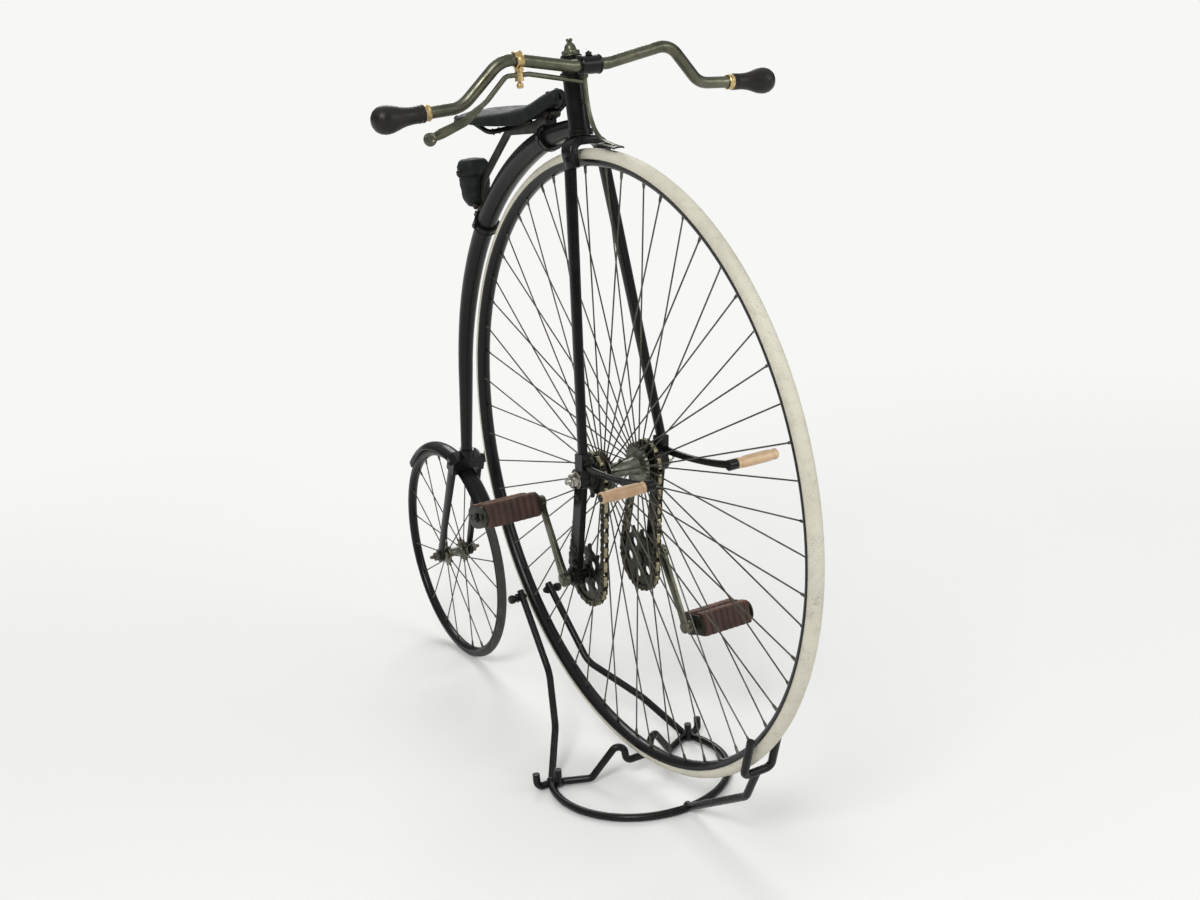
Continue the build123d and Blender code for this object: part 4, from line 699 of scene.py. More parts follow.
def make_drive_side(word, out, angle):
    ahead = wheelward(radians(angle))
    pin = CRANK + ahead * CRANK_LENGTH
    wheel = Shape()
    outlines = [toothed(LOWER, LOWER_R, -90.0)]
    outlines += [hole(*polar(27, radians(90 + 72 * i)), 8.2, 28) for i in range(5)]
    middle = CRANK + out * CHAIN_LINE
    wheel.plate(outlines, SPROCKET_THICK, middle, AHEAD, DOWN)
    wheel.lathe(both_ways([(14, 4), (13, 5), (7, 5)]), middle, Y, 40)
    wheel.lathe([(0, 43), (7.4, 43), (7.5, 44), (7.5, 84.4), (0, 84.4)], CRANK, out, 32)
    wheel.dress(word + "_crank_sprocket", "sprocket_steel")

    arm = Shape()
    place = out * ((CRANK_IN + CRANK_OUT) / 2)
    stations = (
        (4, 17.5, 10.6), (14, 17, 10.6), (24, 15, 10), (60, 13.6, 9), (100, 12.4, 8.4), (112, 13, 9), (123, 15, 10)
    )
    path = [CRANK + ahead * along + place for along, _, _ in stations]
    arm.tube(path, rectangle(1, 1, 0.28, 4), [size for _, *size in stations], Y)
    arm.lathe(disc(-5.5, 5.5, 12.0, 1.2), CRANK + place, out, 44)
    arm.lathe([(0, 5.5), (8.6, 5.5), (8.6, 6.3), (7.6, 7.2), (4, 7.8), (0, 8)], CRANK + place, out, 36)
    arm.lathe(disc(-5.5, 5.5, 10.0, 1.2), pin + place, out, 40)
    across = ahead.cross(Y)
    cotter = CRANK + place - across * 15.5
    profile = [(0, 0), (2.6, 0), (3.1, 1), (3.1, 24), (2.4, 24.5)] + thread(2.4, 24.5, 32, 1.0)[1:]
    arm.lathe(profile, cotter, across, 16)
    nut(arm, cotter, across, 25.2, 29.2, 9.0, 0.5)
    spindle = [
        (0, 95.5), (8.2, 95.5), (8.6, 96.2), (8.6, 98.8), (8, 99.5), (5.2, 99.8), (5, 101), (5, 201.4),
        (4.6, 201.6), (0, 201.6),
    ]
    arm.lathe(spindle, pin, out, 28)
    arm.dress(word + "_crank")
    ends = Shape()
    nut(ends, pin, out, PEDAL_OUT + 0.3, PEDAL_OUT + 4.6, 12.5, 0.8)
    ends.lathe([(0, 4.6), (4.2, 4.6), (3.6, 6.2), (0, 7.2)], pin + out * PEDAL_OUT, out, 20)
    ends.make(word + "_pedal_nut", word + "_crankset", "dark_steel")

    cage = Shape()
    for at, facing in ((PEDAL_IN + 2, -1), (PEDAL_OUT - 2, 1)):
        outlines = [rectangle(64, 33, 15, 8)] + [hole(x, 0, 3.2, 16) for x in (-10.5, 10.5)]
        cage.plate(outlines, 4.0, pin + out * at, LONG, HIGH)
        for x in (-19, 19):
            nut(cage, pin + LONG * x + out * (at + facing * 2), out * facing, 0, 2.6, 8.0, 0.5)
    sleeve = [
        (5.6, 103.6), (8.4, 103.6), (8.4, 112), (7.4, 116), (7.4, 188), (8.4, 192), (8.4, 201.4), (5.6, 201.4)
    ]
    cage.lathe(sleeve, pin, out, 28)
    cage.dress(word + "_pedal_frame")
    rubbers = Shape()
    near, far = PEDAL_IN + 4.2, PEDAL_OUT - 4.2
    stations = [(near + (far - near) / RIBS * (i + part), *size) for i in range(RIBS) for part, *size in RIB_SHAPE]
    stations.append((far, 0.8, 0.93))
    for x in (-18.56, 18.56):
        path = [pin + LONG * x + out * along for along, _, _ in stations]
        rubbers.tube(path, rectangle(25, 38, 5, 5), [size for _, *size in stations], HIGH)
    rubbers.dress(word + "_pedal_rubbers", sharp=50)


make_drive_side("right", -Y, 116.0)
make_drive_side("left", Y, 296.0)

# Fork ends: axle, nuts and bracket bolts
FORK_MIDDLE, FORK_OUT, BRACKET_OUT = 69.5, 77.5, 74.6
axle = Shape()
for out in OUTWARD:
    axle.lathe([(0, 0), (7, 0), (7, FORK_OUT + 0.1), (0, FORK_OUT + 0.1)], FRONT, out, 36)
    axle.lathe(disc(FORK_OUT + 0.05, FORK_OUT + 1.6, 13.5, 0.5), FRONT, out, 40)
    nut(axle, FRONT, out, FORK_OUT + 1.6, FORK_OUT + 10, 21.0, 1.4, 0.2)
    stub = [(0, 0), (8.2, 0), (8.4, 1.0), (7.0, 2.0), (5, 2.6)] + thread(4.5, 2.6, 9.0)[1:]
    axle.lathe(stub, FRONT + out * (FORK_OUT + 10), out, 28)
axle.dress("front_axle")

bolts = Shape()
for side in SIDES:
    out = Y * side
    for place in (CRANK - DOWN * 26, CRANK - DOWN * 52, FRONT + DOWN * 30):
        bolts.lathe([(0, 0), (5.2, 0), (5.0, 1.2), (3.6, 2.4), (0, 3.0)], place + out * BRACKET_OUT, out, 24)
    ring = [(7.9, 0), (12.2, 0), (12.6, 0.8), (11.6, 2.0), (8.2, 2.4), (7.9, 2.0)]
    bolts.lathe(ring, CRANK + out * FORK_OUT, out, 36)
    oiler = [(0, 0), (2.6, 0), (2.6, 3), (2.0, 4.2), (0, 4.8)]
    bolts.lathe(oiler, CRANK + out * FORK_MIDDLE + AHEAD * 14.6, AHEAD, 16)
    for x, height in ((20.6, 24.0), (22.6, 34.0)):
        rivet = [(0, 0), (3.4, 0), (3.2, 1.0), (2.2, 1.8), (0, 2.1)]
        bolts.lathe(rivet, steered(x, side * FORK_MIDDLE, height), (1, 0, 0.05), 16)
bolts.make("bracket_bolts", "fork", "dark_steel")

# Fork crown: a forged arch with an oval socket round each blade's top
CROWN_HALF = 27.5
crown = Shape()
arch = [(13.8, -CROWN_HALF, 462), (8, -CROWN_HALF, 495.1), (8, CROWN_HALF, 495.1), (13.8, CROWN_HALF, 462)]
arch = route([steered(*place) for place in arch], 17.0, 6, 10)
spread = [abs(p.y) / CROWN_HALF for p in arch]
crown.tube(arch, rectangle(12, 34, 4.6, 5), [(1 + 0.22 * t**3, 1 - 0.14 * t**2) for t in spread], X)
for side in SIDES:
    socket = [(14.2, 27.6, 456), (14.0, 27.6, 457.5), (13.6, 27.5, 468), (12.9, 27.5, 474)]
    socket = [steered(x, side * y, z) for x, y, z in socket]
    crown.tube(socket, circle(1.0, 32), [(8.8, 14.4), (9.5, 15.1), (9.3, 14.9), (8.4, 14.4)], X)
crown.lathe([(0, 494), (11.95, 494), (11.95, 614), (0, 614)], FRONT, STEER_UP, 40)
crown.dress("fork_crown", sharp=40)

# Head, lug and cap
BAR_LEVEL = 599.0
head = Shape()
head.lathe([(11.5, 614.3), (15.0, 614.3), (15.4, 614.9), (15.0, 615.8), (11.5, 616)], FRONT, STEER_UP, 40)
nut(head, FRONT, STEER_UP, 615.8, 622.0, 24.0, 1.2)
cap = [
    (0, 621.8), (9.4, 621.8), (9.6, 623), (8.6, 624.4), (8.2, 627), (6.6, 630.4), (4.4, 632.4), (3.6, 633.2),
    (3.6, 634.2), (4.6, 635.4), (5.0, 637.0), (4.4, 638.6), (2.6, 639.5), (0, 639.8),
]
head.lathe(cap, FRONT, STEER_UP, 40)
head.dress("head_cap")
trim = Shape()
for out in OUTWARD:
    pivot = [(0, 15.6), (4.2, 15.6), (4.0, 17.2), (2.8, 18.4), (0, 18.9)]
    trim.lathe(pivot, steered(-2, 0, 603), out, 20)
bolt(trim, front(8, 0, BAR_LEVEL + 12.6), UP, 8.0, 4.0, 1.6)
trim.make("lug_bolts", "fork", "dark_steel")
rings = Shape()
for height in (503.1, 508.7, 584.1, 589.7):
    rings.lathe(bead(18.6, 19.3, height, 0.6, 0.3), FRONT, STEER_UP, 48)
rings.lathe([(0, 0), (3.2, 0), (3.2, 3), (2.4, 4.4), (0, 5)], steered(15.6, 0, 548), (1, 0, 0.07), 18)
rings.make("head_rings", "backbone_body", "dark_steel")

# Handlebar
GRIP_END, GRIP_FOOT = (-6, 330, BAR_LEVEL - 48), (-10, 196, BAR_LEVEL - 41)
bar_half = [(-6, -326, BAR_LEVEL - 48), (-10, -196, BAR_LEVEL - 41), (8, -136, BAR_LEVEL + 19), (8, -30, BAR_LEVEL)]
bar_route = [front(*place) for place in bar_half] + [front(x, -y, z) for x, y, z in reversed(bar_half)]
bar_path = route(bar_route, 40.0, 14, 12)
handlebar = Shape()
handlebar.tube(bar_path, circle(8.6, 24), up=X)
handlebar.dress("handlebar")
sleeve = Shape()
for at in (-14.6, 14.6):
    sleeve.lathe(both_ways([(13.8, 0.8), (13.2, 1.6), (9.2, 1.6)]), front(8, at, BAR_LEVEL), Y, 40)
sleeve.make("sleeve_beads", "fork", "black_enamel")
GRIP = [
    (0, 0), (4.5, 0.3), (9.8, 1.8), (14.4, 5.2), (17.8, 10.4), (19.3, 16.5), (19.5, 21), (18.6, 28), (16.6, 35),
    (14.6, 41), (13.2, 47), (12.3, 54), (11.9, 60), (11.9, 65), (12.3, 67.5), (12.3, 69.5), (11.7, 70.5),
    (11.7, 72), (12.4, 73), (12.4, 75), (9.1, 75),
]
FERRULE = [
    (9.1, 75.1), (11.4, 75.1), (11.7, 76), (11.2, 77.2), (10.7, 78.4), (10.7, 80.6), (11.4, 81.6), (11.5, 83),
    (10.8, 84), (9.1, 84),
]
for node, profile, steps in (("grips", GRIP, 48), ("grip_ferrules", FERRULE, 40)):
    pair = Shape()
    for side in SIDES:
        end, foot = [front(x, side * y, z) for x, y, z in (GRIP_END, GRIP_FOOT)]
        pair.lathe(profile, end, foot - end, steps)
    pair.dress(node)

# Brake
LEVER = ((8, -256, 521), (8, -202, 539), (8, -165, 564), (8, -133, 594), (8, -98, 594), (-9, -5.2, 577))
lever_path = route([front(*place) for place in LEVER], 14.0, 9)
scales, run = [], 0.0
for before, place in zip([lever_path[0]] + lever_path, lever_path):
    run += (place - before).length
    flat, narrow = max(0.0, 1 - run / 90.0), max(0.0, 1 - run / 16.0)
    scales.append((3.6 + 4.0 * flat**0.5 - 3.0 * narrow, 3.8 - 1.2 * flat))
lever = Shape()
lever.tube(lever_path, circle(1.0, 16), scales, X)
knob = both_ways([(9.6, 0), (9, 2.4), (7.2, 3.5), (4.4, 3.4), (3.2, 2.4), (0, 2.2)])
lever.lathe(knob, lever_path[0], X, 36)
lever.dress("brake_lever")
CLIP_Y = -113.0
clip_at = min(bar_path, key=lambda p: abs(p.y - CLIP_Y))
clip_on = Vector((clip_at.x, CLIP_Y, clip_at.z + (CLIP_Y - clip_at.y) * 0.1))
clip = Shape()
clip.lathe(both_ways([(11.4, 3.6), (12.0, 4.8), (11.4, 5.5), (9.1, 5.5)]), clip_on, (0, 1, 0.16), 40)
peg = [clip_on - UP * drop for drop in (10, 16, 29)]
clip.tube(peg, rectangle(11, 10, 2.5, 4), [(0.9, 1), (0.8, 0.9), (1.0, 1.0)], X)
knob = [(0, 0), (2.6, 0), (2.6, 3), (4.4, 4), (4.8, 6), (4.8, 9), (4.2, 10.4), (0, 11)]
clip.lathe(knob, clip_on - UP * 28, -UP, 24)
nut(clip, clip_on - UP * 13.5, X, 5, 9, 7.0, 0.5)
clip.dress("brake_clip")
SPOON_FROM, SPOON_SPAN, SPOON_STEPS = 2.8, 5.6, 12  # degrees ahead of the wheel's top
strip = [(-9, 593.2), (-8.6, 575), (-7.5, 552), (-3, 530), (8, 509), (26, 495.5), (48, 489.8), (62, 487.0)]
spoon = Shape()
spoon.tube([front(x, 0, z) for x, z in spline_rows(strip, 36)], rectangle(2.6, 7.0, 0.9, 3), up=Y)
bolt(spoon, front(-7.4, 0, 584), X, 6.5, 3.0, 1.0)
spoon.dress("brake_spoon", "dull_steel", "brake_strip_dressed")
spoon = Shape()
section = [
    (487.6, -8.4), (488.6, -5), (488.9, 0), (488.6, 5), (487.6, 8.4), (489.5, 8.8), (491.0, 6), (491.4, 0),
    (491.0, -6), (489.5, -8.8),
]
rows = []
for i in range(SPOON_STEPS + 1):
    angle = radians(SPOON_FROM + SPOON_SPAN * i / SPOON_STEPS)
    rows.append([FRONT + Vector((r * sin(angle), y, r * cos(angle))) for r, y in section])
spoon.skin(rows)
spoon.make("brake_spoon_dressed", "fork", "dark_steel", "sprocket_steel")

# Footrests
arms, pegs = Shape(), Shape()
for side in SIDES:
    out = Y * side
    root, tip = front(21, side * FORK_MIDDLE, 20.6), front(197, side * FORK_MIDDLE, 32)
    along = [i / 14 for i in range(15)]
    path = [root.lerp(tip, t) - UP * (20.0 * t * (1 - t)) for t in along]
    arms.tube(path, rectangle(11, 6, 2.2, 4), [(1.08 - 0.16 * sin(pi * t), 1.0) for t in along], Y)
    arms.lathe(disc(-7, 7, 8.0, 1.0), tip, out, 32)
    arms.lathe([(0, 6.5), (6.6, 6.5), (7.2, 7.0), (7.2, 8.2), (5, 8.8), (4, 9), (4, 70), (0, 70)], tip, out, 28)
    arms.lathe([(0, 0), (5.4, 0), (5.6, 0.6), (4.8, 2.0), (2.4, 2.8), (0, 3.0)], tip + out * 79, out, 28)
    turned = [
        (4.1, 9.0), (7.6, 9.0), (8.2, 9.8), (8.2, 12.6), (7.4, 13.6), (7.2, 14.6), (7.9, 15.8), (8.5, 20), (8.75, 28),
        (8.75, 58), (8.5, 66), (7.8, 70.6), (7.2, 71.8), (7.4, 72.8), (8.2, 73.8), (8.2, 77.6), (7.4, 79), (0, 79),
    ]
    pegs.lathe(turned, tip, out, 40)
arms.dress("footrest_arms")
pegs.dress("footrest_pegs")

# Rear axle
axle = Shape()
for out in OUTWARD:
    axle.lathe([(0, 0), (5, 0), (5, 35.2), (0, 35.2)], REAR, out, 28)
    axle.lathe(disc(35.05, 36.4, 9.0, 0.4), REAR, out, 32)
    nut(axle, REAR, out, 36.4, 44.0, 16.0, 1.0, 0.3)
    stub = [(0, 0), (5.6, 0), (5.6, 0.8), (4.2, 1.6)] + thread(3.5, 1.6, 9.0)[1:]
    axle.lathe(stub, REAR + out * 44.0, out, 22)
axle.dress("rear_axle", "axle_steel")

# Mudguard: a turned bead along each edge, its foot's rivets and the rear crown's bolts
GUARD_EDGE, GUARD_HALF = 211.5, 16.4
GUARD_FROM, GUARD_SPAN, GUARD_STEPS = 36.0, 94.0, 60  # degrees
beads, rivets = Shape(), Shape()
CROWN_WAY = Vector((113.0, 0, 224.1)).normalized()
for out in OUTWARD:
    around = [wheelward(radians(GUARD_FROM + GUARD_SPAN * i / GUARD_STEPS)) for i in range(GUARD_STEPS + 1)]
    path = [REAR + way * GUARD_EDGE + out * GUARD_HALF for way in around]
    beads.tube(path, circle(1.5, 8), up=Y)
    bolt(rivets, REAR + CROWN_WAY * 238.0 + out * 32.4, out, 8.0, 3.4, 1.2)
    rivet = [(0, 0), (2.6, 0), (2.4, 0.9), (1.5, 1.5), (0, 1.7)]
    rivets.lathe(rivet, Vector((-365.3, 0, 436.0)) + out * 13.2, out, 14)
beads.make("mudguard_beads", "backbone_body", "black_enamel")
rivets.make("rear_crown_bolts", "backbone_body", "dark_steel")

# Saddle: thick hide drawn over its frame
SADDLE_LEVEL = 501.5
SADDLE_POWER = 2.35
HIDE_THICK = 4.2
SADDLE_ROWS = [  # place along, top, half width and depth of skirt
    (-356.5, 32.0, 6.0, 8.0), (-355.0, 34.0, 27.0, 10.0), (-350.0, 36.0, 42.0, 12.0), (-340, 38.5, 56, 13.5),
    (-325, 41, 68, 15.5), (-302, 42.6, 76, 16.5), (-280, 43.5, 79, 17.5), (-252, 42.6, 76.5, 19.5), (-225, 42, 66, 22),
    (-197, 43.6, 49, 25.5), (-170, 46.5, 34, 27.5), (-147, 53.5, 25.5, 28), (-125, 60.5, 20.5, 27.5),
    (-106, 65, 17.5, 25.5), (-93, 66.6, 15, 22.5), (-88.5, 65.6, 11.5, 19.5), (-86.6, 63.5, 6, 15),
]
saddle_stations = spline_rows(SADDLE_ROWS, 65)
ACROSS = 32  # steps from one edge of the hide to the other


def saddle_row(station, inward):
    """Half oval with drawn-in skirts; the inner face lies inward by the hide's thickness."""
    x, top, half, depth = station
    points = []
    for i in range(ACROSS + 1):
        rise, across = squarish(pi * (i / ACROSS - 0.5), SADDLE_POWER)
        y = across * max(half - inward, 1.0) * (1 - 0.05 * (1 - rise) ** 3)
        place = front(x, y, SADDLE_LEVEL + top - depth + (depth - inward) * rise)
        if not inward:
            ripple = noise.noise(place * 0.045) * 0.9 + noise.noise(place * 0.12) * 0.35
            place += Vector((0, ripple * 0.5 * (1 - rise), ripple * min(1.0, half / 40) * rise))
        points.append(place)
    return points


outer = [saddle_row(station, 0.0) for station in saddle_stations]
inner = [[p + UP * 0.8 for p in saddle_row(station, HIDE_THICK)] for station in saddle_stations]
hide = Shape()
hide.skin([out_row + in_row[::-1] for out_row, in_row in zip(outer, inner)], caps=False)
round_trip = 2 * ACROSS + 1
last = len(hide.points) - round_trip - 1
for j in range(ACROSS):
    hide.faces.append([j, j + 1, round_trip - j - 1, round_trip - j])
    hide.faces.append([last + j + 1, last + j, last + round_trip - j, last + round_trip - j - 1])
hide.dress("saddle_top", name="saddle_hide", sharp=60)
hem = Shape()
for column in (0, ACROSS):
    hem.tube([row[column] + UP * 0.6 for row in outer], circle(1.9, 10), up=UP)
rows = []
for x, top, half, depth in saddle_stations[2:-2]:
    spots = [j / 4 - 1 for j in range(9)]
    level = SADDLE_LEVEL + top - depth + 2.0
    rows.append([front(x, t * (half - 2.5), level + 2.2 * (1 - t * t)) for t in spots])
lining = Shape()
lining.skin(rows, ring=False, caps=False)
lining.make("saddle_lining", "backbone_body", "black_leather", sharp=60)
hem.make("saddle_hem", "backbone_body", "black_leather")


def saddle_spot(x, y):
    """A point on the saddle's top, and how near it lies to the edge."""
    at, top, half, depth = min(saddle_stations, key=lambda station: abs(station[0] - x))
    share = min(1.0, abs(y) / half)
    rise = (1 - share**SADDLE_POWER) ** (1 / SADDLE_POWER)
    return front(at, y, SADDLE_LEVEL + top - depth + depth * rise), share


studs = Shape()
for x, y, tilt in ((-350, 0, -0.25), (-350, 24, -0.25), (-341, 44, -0.1), (-326, 62, -0.1)):
    for side in SIDES if y else (1,):
        place, share = saddle_spot(x, side * y)
        profile = [(0, -1.5), (4.2, -1.5), (4.2, 0.2), (3.6, 0.9), (2.0, 1.5), (0, 1.7)]
        studs.lathe(profile, place, (tilt, side * share**2, 1), 20)
for x, y in ((-97, 0), (-112, 7.5), (-112, -7.5)):
    profile = [(0, -1.5), (3.4, -1.5), (3.4, 0.2), (2.9, 0.8), (1.6, 1.3), (0, 1.5)]
    studs.lathe(profile, saddle_spot(x, y)[0], (0.1, 0.03 * y, 1), 18)
studs.make("saddle_studs", "backbone_body", "dark_steel")

# Saddle spring: two leaves, and a strut with a pad to each side
LEAF = ((-118, 531.5), (-172, 515), (-258, 511.5), (-384, 422.4), (-404.3, 370.8))
leaf = [front(x, 0, z) for x, z in LEAF]
spring = Shape()
spring.tube(route(leaf, 24.0, 9), rectangle(15, 5, 1.4, 3), up=Y)
second = [leaf[1] + Vector((6, 0, -5.1)), leaf[2] + Vector((-6, 0, -5.1)), leaf[2] + Vector((-52, 0, -38))]
spring.tube(route(second, 24.0, 9), rectangle(13, 4.4, 1.2, 3), up=Y)
for side in SIDES:
    run = [leaf[2] + Vector((x, side * y, z)) for x, y, z in ((-4, 0, 0), (-10, 34, -4), (-34, 52, 16.5))]
    spring.tube(route(run, 15.0, 6), circle(4.0, 16))
    pad = [(0, -2), (8.5, -2), (9, -1.2), (9, 0.8), (7.5, 1.8), (0, 2.2)]
    spring.lathe(pad, run[-1] + UP, UP, 28)
    for share in (0.5, 0.8):
        spring.lathe(bead(4.0, 5.2, 0, 1.4, 0.9), run[0].lerp(run[1], share), run[1] - run[0], 20)
NOSE = front(-116, 0, SADDLE_LEVEL + 31)
spring.lathe(disc(-7.5, 7.5, 8.0, 1.2), NOSE, Y, 32)
spring.dress("saddle_spring")
fittings = Shape()
for x, z in ((-186, 15.4), (-258, 12.2)):
    bolt(fittings, front(x, 0, SADDLE_LEVEL + z), UP, 9.0, 4.0, 2.0)
for out in OUTWARD:
    nut(fittings, NOSE + out * 7.6, out, 0, 4.4, 11.0, 0.7)
for place in (leaf[4] + Vector((9, 0, 13)), front(-128, 0, 499)):
    for out in OUTWARD:
        nut(fittings, place + out * 9.6, out, 0, 4.2, 10.0, 0.7)
fittings.make("saddle_bolts", "backbone_body", "dark_steel")

# Beads and nuts of the two bands that hold the saddle to the backbone's arc
ARC_X, ARC_Z, ARC_R = 6.3, -41.0, 555.6
BAND_RADIUS = 20.4
bands = Shape()
for back in (-128.0, -386.0):
    high = ARC_Z + sqrt(ARC_R**2 - (back - ARC_X) ** 2)
    along = Vector((back - ARC_X, 0, high - ARC_Z)).normalized().cross(Y)
    middle = front(back, 0, high)
    for at in (-5.0, 5.0):
        bands.lathe(bead(BAND_RADIUS, 21.6, at, 1.0, 0.6), middle, along, 56)
    for out in OUTWARD:
        nut(bands, middle + out * BAND_RADIUS, out, 0, 3.6, 8.5, 0.6)
bands.make("clip_bands", "backbone_body", "black_enamel")

# Tool bag: a soft shell that hangs full, with a flap, straps and buckles
BAG = front(-412.6, 0, 421.5)
BAG_HALF_HIGH, BAG_HALF_DEEP, BAG_HALF_WIDE = 41.0, 25.5, 24.4
BAG_SIDES, BAG_LEVELS = 48, 44
FLAP_FROM, FLAP_SPAN, FLAP_STEPS = 0.30, 0.66, 20  # as a level of the bag


def bag_ring(level, grow=0.0):
    """One level of the bag; level runs from -1 at the bottom to 1 at the top."""
    end = (1 - min(1.0, abs(level) ** (6.5 if level > 0 else 4.2))) ** 0.42
    size = (1.0 - 0.13 * max(0.0, 0.25 - level) ** 1.7) * (0.30 + 0.70 * end)
    points = []
    for i in range(BAG_SIDES):
        c, s = squarish(tau * i / BAG_SIDES, 2.7)
        across = Vector((c * (BAG_HALF_DEEP * size + grow), s * (BAG_HALF_WIDE * size + grow), level * BAG_HALF_HIGH))
        x, y, z = place = BAG + across
        soft = noise.noise(Vector((x * 0.05, y * 0.05, z * 0.085)))
        fold = noise.noise(Vector((x * 0.09, y * 0.09, z * 0.2 + 5.0)))
        points.append(place + Vector((c, s, 0)).normalized() * ((soft * 1.2 + fold * 0.6) * end - 0.4))
    return points


bag = Shape()
bag.skin([bag_ring(-1 + 2 * i / BAG_LEVELS) for i in range(BAG_LEVELS + 1)])
bag.dress("tool_bag", name="tool_bag_shell", sharp=70)
flap = Shape()
flap.skin([bag_ring(FLAP_FROM + FLAP_SPAN * i / FLAP_STEPS, 1.4) for i in range(FLAP_STEPS + 1)], caps=False)
flap.faces.append(list(range(FLAP_STEPS * BAG_SIDES, (FLAP_STEPS + 1) * BAG_SIDES)))
flap.tube(bag_ring(FLAP_FROM, 1.0), circle(1.0, 8), up=UP, closed=True)
flap.make("tool_bag_flap", "backbone_body", "black_leather", sharp=60)
straps = Shape()
straps.tube(bag_ring(0.42, 2.2), rectangle(1.6, 7.5, 0.7, 2), up=UP, closed=True)
straps.tube([p + UP * 1.5 for p in bag_ring(0.62, 1.6)[40:45]], rectangle(1.6, 5.0, 0.7, 2), up=UP)
straps.make("tool_bag_straps", "backbone_body", "black_leather")
buckles = Shape()
for place, across in ((BAG + Vector((2, -27.4, 17.2)), X), (BAG + Vector((-28.6, 0, 17.2)), Y)):
    corners = [place + across * x + UP * z for x, z in ((5, 5.5), (-5, 5.5), (-5, -5.5), (5, -5.5))]
    buckles.tube(filleted(corners, 1.8, 4, True), circle(0.9, 8), up=across.cross(UP), closed=True)
    buckles.tube([place - across * 5, place + across * 5.4], circle(0.7, 8))
buckles.make("tool_bag_buckles", "backbone_body", "dark_steel")

# Stand: clamp screws, and the collars where its bars are joined
YOKE = front(-344.1, 0, -302.3)
screws = Shape()
for out in OUTWARD:
    turns = [(4.9 - 0.5 * (i % 2), 19.6 + i * 0.8) for i in range(24)]
    screws.lathe([(0, 17.9), (3.4, 17.9), (4.6, 19.2)] + turns + [(4.4, 39.2), (5.0, 40)], YOKE, out, 20)
    knob = [(0, 39.5), (4.8, 39.5), (6.4, 40.5), (7.6, 43), (7.9, 46), (7.2, 49.5), (5.2, 51.6), (0, 52)]
    screws.lathe(knob, YOKE, out, 28)
    nut(screws, YOKE, out, 33.4, 37.6, 14.0, 0.8)
screws.dress("stand_yoke", name="stand_screws")
collars = Shape()
for side in SIDES:
    foot = Vector((125.75, side * 131.08, 8.0))
    collars.lathe(both_ways([(7.6, 3.4), (7.0, 5), (5.0, 6)]), foot, Y, 28)
    prong = [foot + Vector((x, side * y, z)) for x, y, z in ((4, -3, -1.6), (17, -4, -1.4), (18, -5, 27))]
    collars.tube(route(prong, 9.0, 8, 6), circle(6.0, 20))
    collars.lathe(bead(5.8, 7.2, 0, 6, 5), YOKE + Y * (side * 28.0), UP, 24)
collars.lathe(bead(5.2, 6.9, 0, 5, 4), Vector((331.0, 0, 7.2)), X, 24)
collars.make("stand_collars", "fork", "stand_paint")

# Every frame node gets its slot's material; those that aren't replaced show their solid shape
for name, slot in SLOT_OF.items():
    frame["nodes"][name].data.materials.clear()
    frame["nodes"][name].data.materials.append(MATERIALS[slot])

# Floor, backdrop and light
PAPER = (0.93, 0.93, 0.92)
FLOOR_HALF = 40.0


def paper_floor(name):
    """Matt pale floor that turns into the backdrop's own white further out."""
    paint = Paint(name, Roughness=0.9, Specular_IOR_Level=0.1)
    color = paint.ramp(paint.noise(0.7, 2), (0.3, (0.84, 0.84, 0.83)), (0.7, (0.85, 0.85, 0.84)))
    put(paint.tree, paint.shader.inputs["Base Color"], color)
    away = paint.node("VectorMath", {0: paint.coords}, operation="LENGTH").outputs["Value"]
    reach = {"Value": away, "From Min": 0.3, "From Max": 3.4}
    fade = paint.node("MapRange", reach, interpolation_type="SMOOTHERSTEP").outputs["Result"]
    glow = paint.node("Emission", {"Color": PAPER}).outputs["Emission"]
    both = paint.node("MixShader", {0: fade, 1: paint.shader.outputs["BSDF"], 2: glow}).outputs["Shader"]
    put(paint.tree, paint.tree.nodes["Material Output"].inputs["Surface"], both)
    return paint.material


corners = [(x * FLOOR_HALF, y * FLOOR_HALF, 0) for x, y in ((-1, -1), (1, -1), (1, 1), (-1, 1))]
floor_mesh = bpy.data.meshes.new("floor")
floor_mesh.from_pydata(corners, [], [(0, 1, 2, 3)])
floor_mesh.materials.append(paper_floor("floor_paper"))
floor = bpy.data.objects.new("floor", floor_mesh)
floor.location.z = -0.5 * MM
scene.collection.objects.link(floor)

# World: dim white for the light, darker below in what metal mirrors, and plain paper for the camera
world = bpy.data.worlds.new("studio")
scene.world = world
world.use_nodes = True
tree = world.node_tree
dim = tree.nodes["Background"]
put(tree, dim.inputs["Color"], (1, 1, 1))
put(tree, dim.inputs["Strength"], 0.55)
rays = add_node(tree, "LightPath").outputs
direction = add_node(tree, "TexCoord").outputs["Generated"]
height = add_node(tree, "SeparateXYZ", {"Vector": direction}).outputs["Z"]
shades = ramp(tree, height, (0.05, 0.07), (0.9, (0.75, 0.76, 0.75)))
mirrored = add_node(tree, "Background", {"Color": shades}).outputs[0]
paper = add_node(tree, "Background", {"Color": PAPER}).outputs[0]
direct = {0: rays["Is Camera Ray"], 1: rays["Is Transmission Ray"]}
seen = add_node(tree, "Math", direct, operation="MAXIMUM").outputs[0]
unseen = add_node(tree, "MixShader", {0: rays["Is Glossy Ray"], 1: dim.outputs[0], 2: mirrored}).outputs[0]
shown = add_node(tree, "MixShader", {0: seen, 1: unseen, 2: paper}).outputs[0]
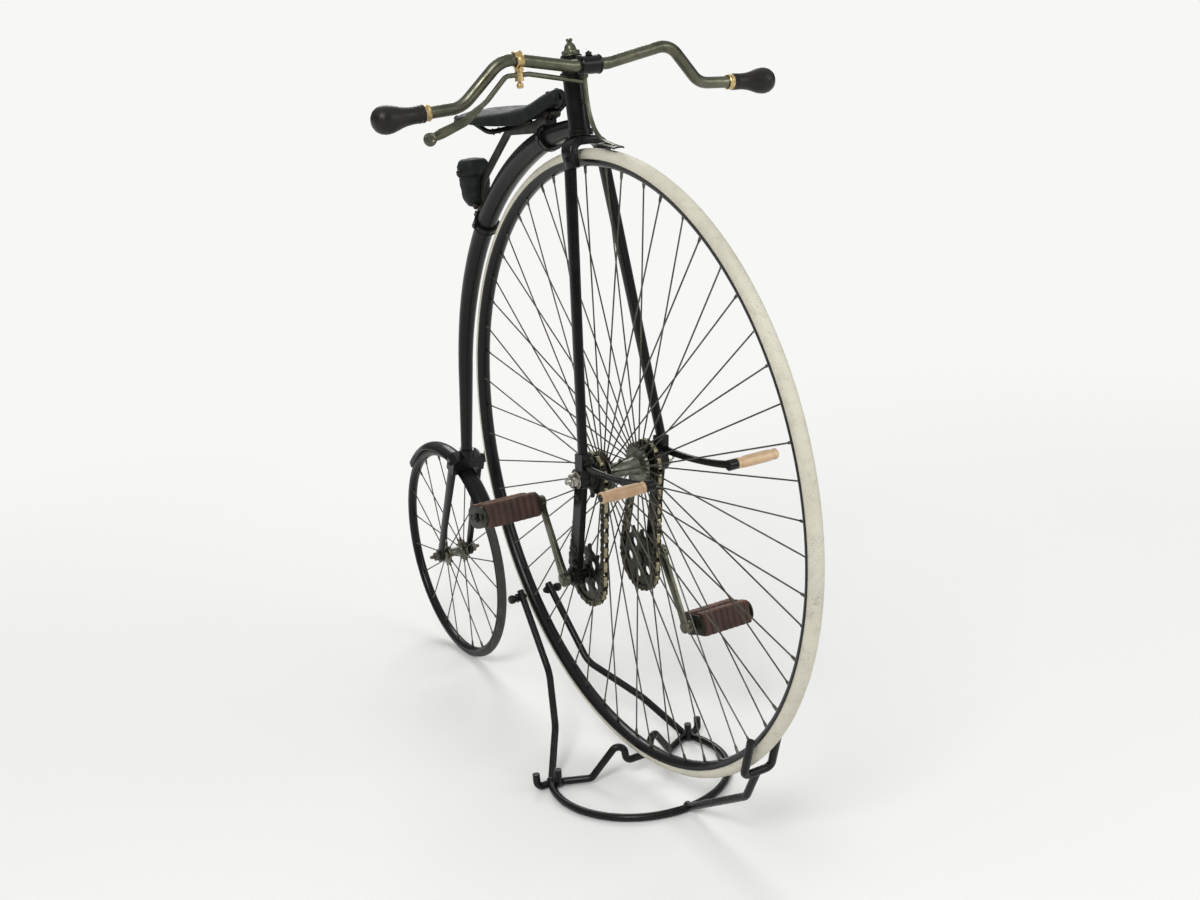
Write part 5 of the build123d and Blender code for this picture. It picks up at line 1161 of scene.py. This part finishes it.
put(tree, tree.nodes["World Output"].inputs["Surface"], shown)


def area_light(name, place, target, size, power):
    light = bpy.data.lights.new(name, "AREA")
    light.shape = "DISK"
    light.size = size
    light.energy = power
    holder = bpy.data.objects.new(name, light)
    holder.location = place
    holder.rotation_euler = (Vector(target) - Vector(place)).to_track_quat("-Z", "Y").to_euler()
    scene.collection.objects.link(holder)


area_light("key", (2.6, -2.4, 3.4), (0, 0, 0.6), 1.6, 95)
area_light("fill", (3.2, 2.6, 2.2), (0, 0, 0.5), 2.2, 40)
area_light("back", (-3.0, 1.2, 3.0), (0, 0, 0.6), 1.8, 55)

# Camera: the photograph's place and direction, with a longer lens aimed at the bicycle
PHOTO_WIDTH, PHOTO_HEIGHT, PHOTO_F = 1200, 900, 838.4
PHOTO_PITCH, PHOTO_ROLL, PHOTO_YAW = 0.0755, 0.0528, 2.4294
CAMERA_PLACE = Vector((2.046, -1.054, 1.140))
AIM = (438.0, 626.0)
ZOOM = 1.72
SENSOR = 36

flat = cos(PHOTO_PITCH)
forward = Vector((flat * cos(PHOTO_YAW), flat * sin(PHOTO_YAW), -sin(PHOTO_PITCH)))
level = Vector((sin(PHOTO_YAW), -cos(PHOTO_YAW), 0))
under = forward.cross(level)
right = level * cos(PHOTO_ROLL) + under * sin(PHOTO_ROLL)
down = under * cos(PHOTO_ROLL) - level * sin(PHOTO_ROLL)
aimed = forward * PHOTO_F + right * (AIM[0] - PHOTO_WIDTH / 2) + down * (AIM[1] - PHOTO_HEIGHT / 2)
swing = forward.rotation_difference(aimed.normalized())
axes = Matrix((swing @ right, -(swing @ down), -(swing @ forward))).transposed()

camera_data = bpy.data.cameras.new("camera")
camera_data.lens = PHOTO_F / PHOTO_WIDTH * SENSOR * ZOOM
camera_data.sensor_width = SENSOR
camera_data.clip_end = 200
camera = bpy.data.objects.new("camera", camera_data)
camera.matrix_world = Matrix.Translation(CAMERA_PLACE) @ axes.to_4x4()
scene.collection.objects.link(camera)
scene.camera = camera
scene.view_settings.view_transform = "Standard"
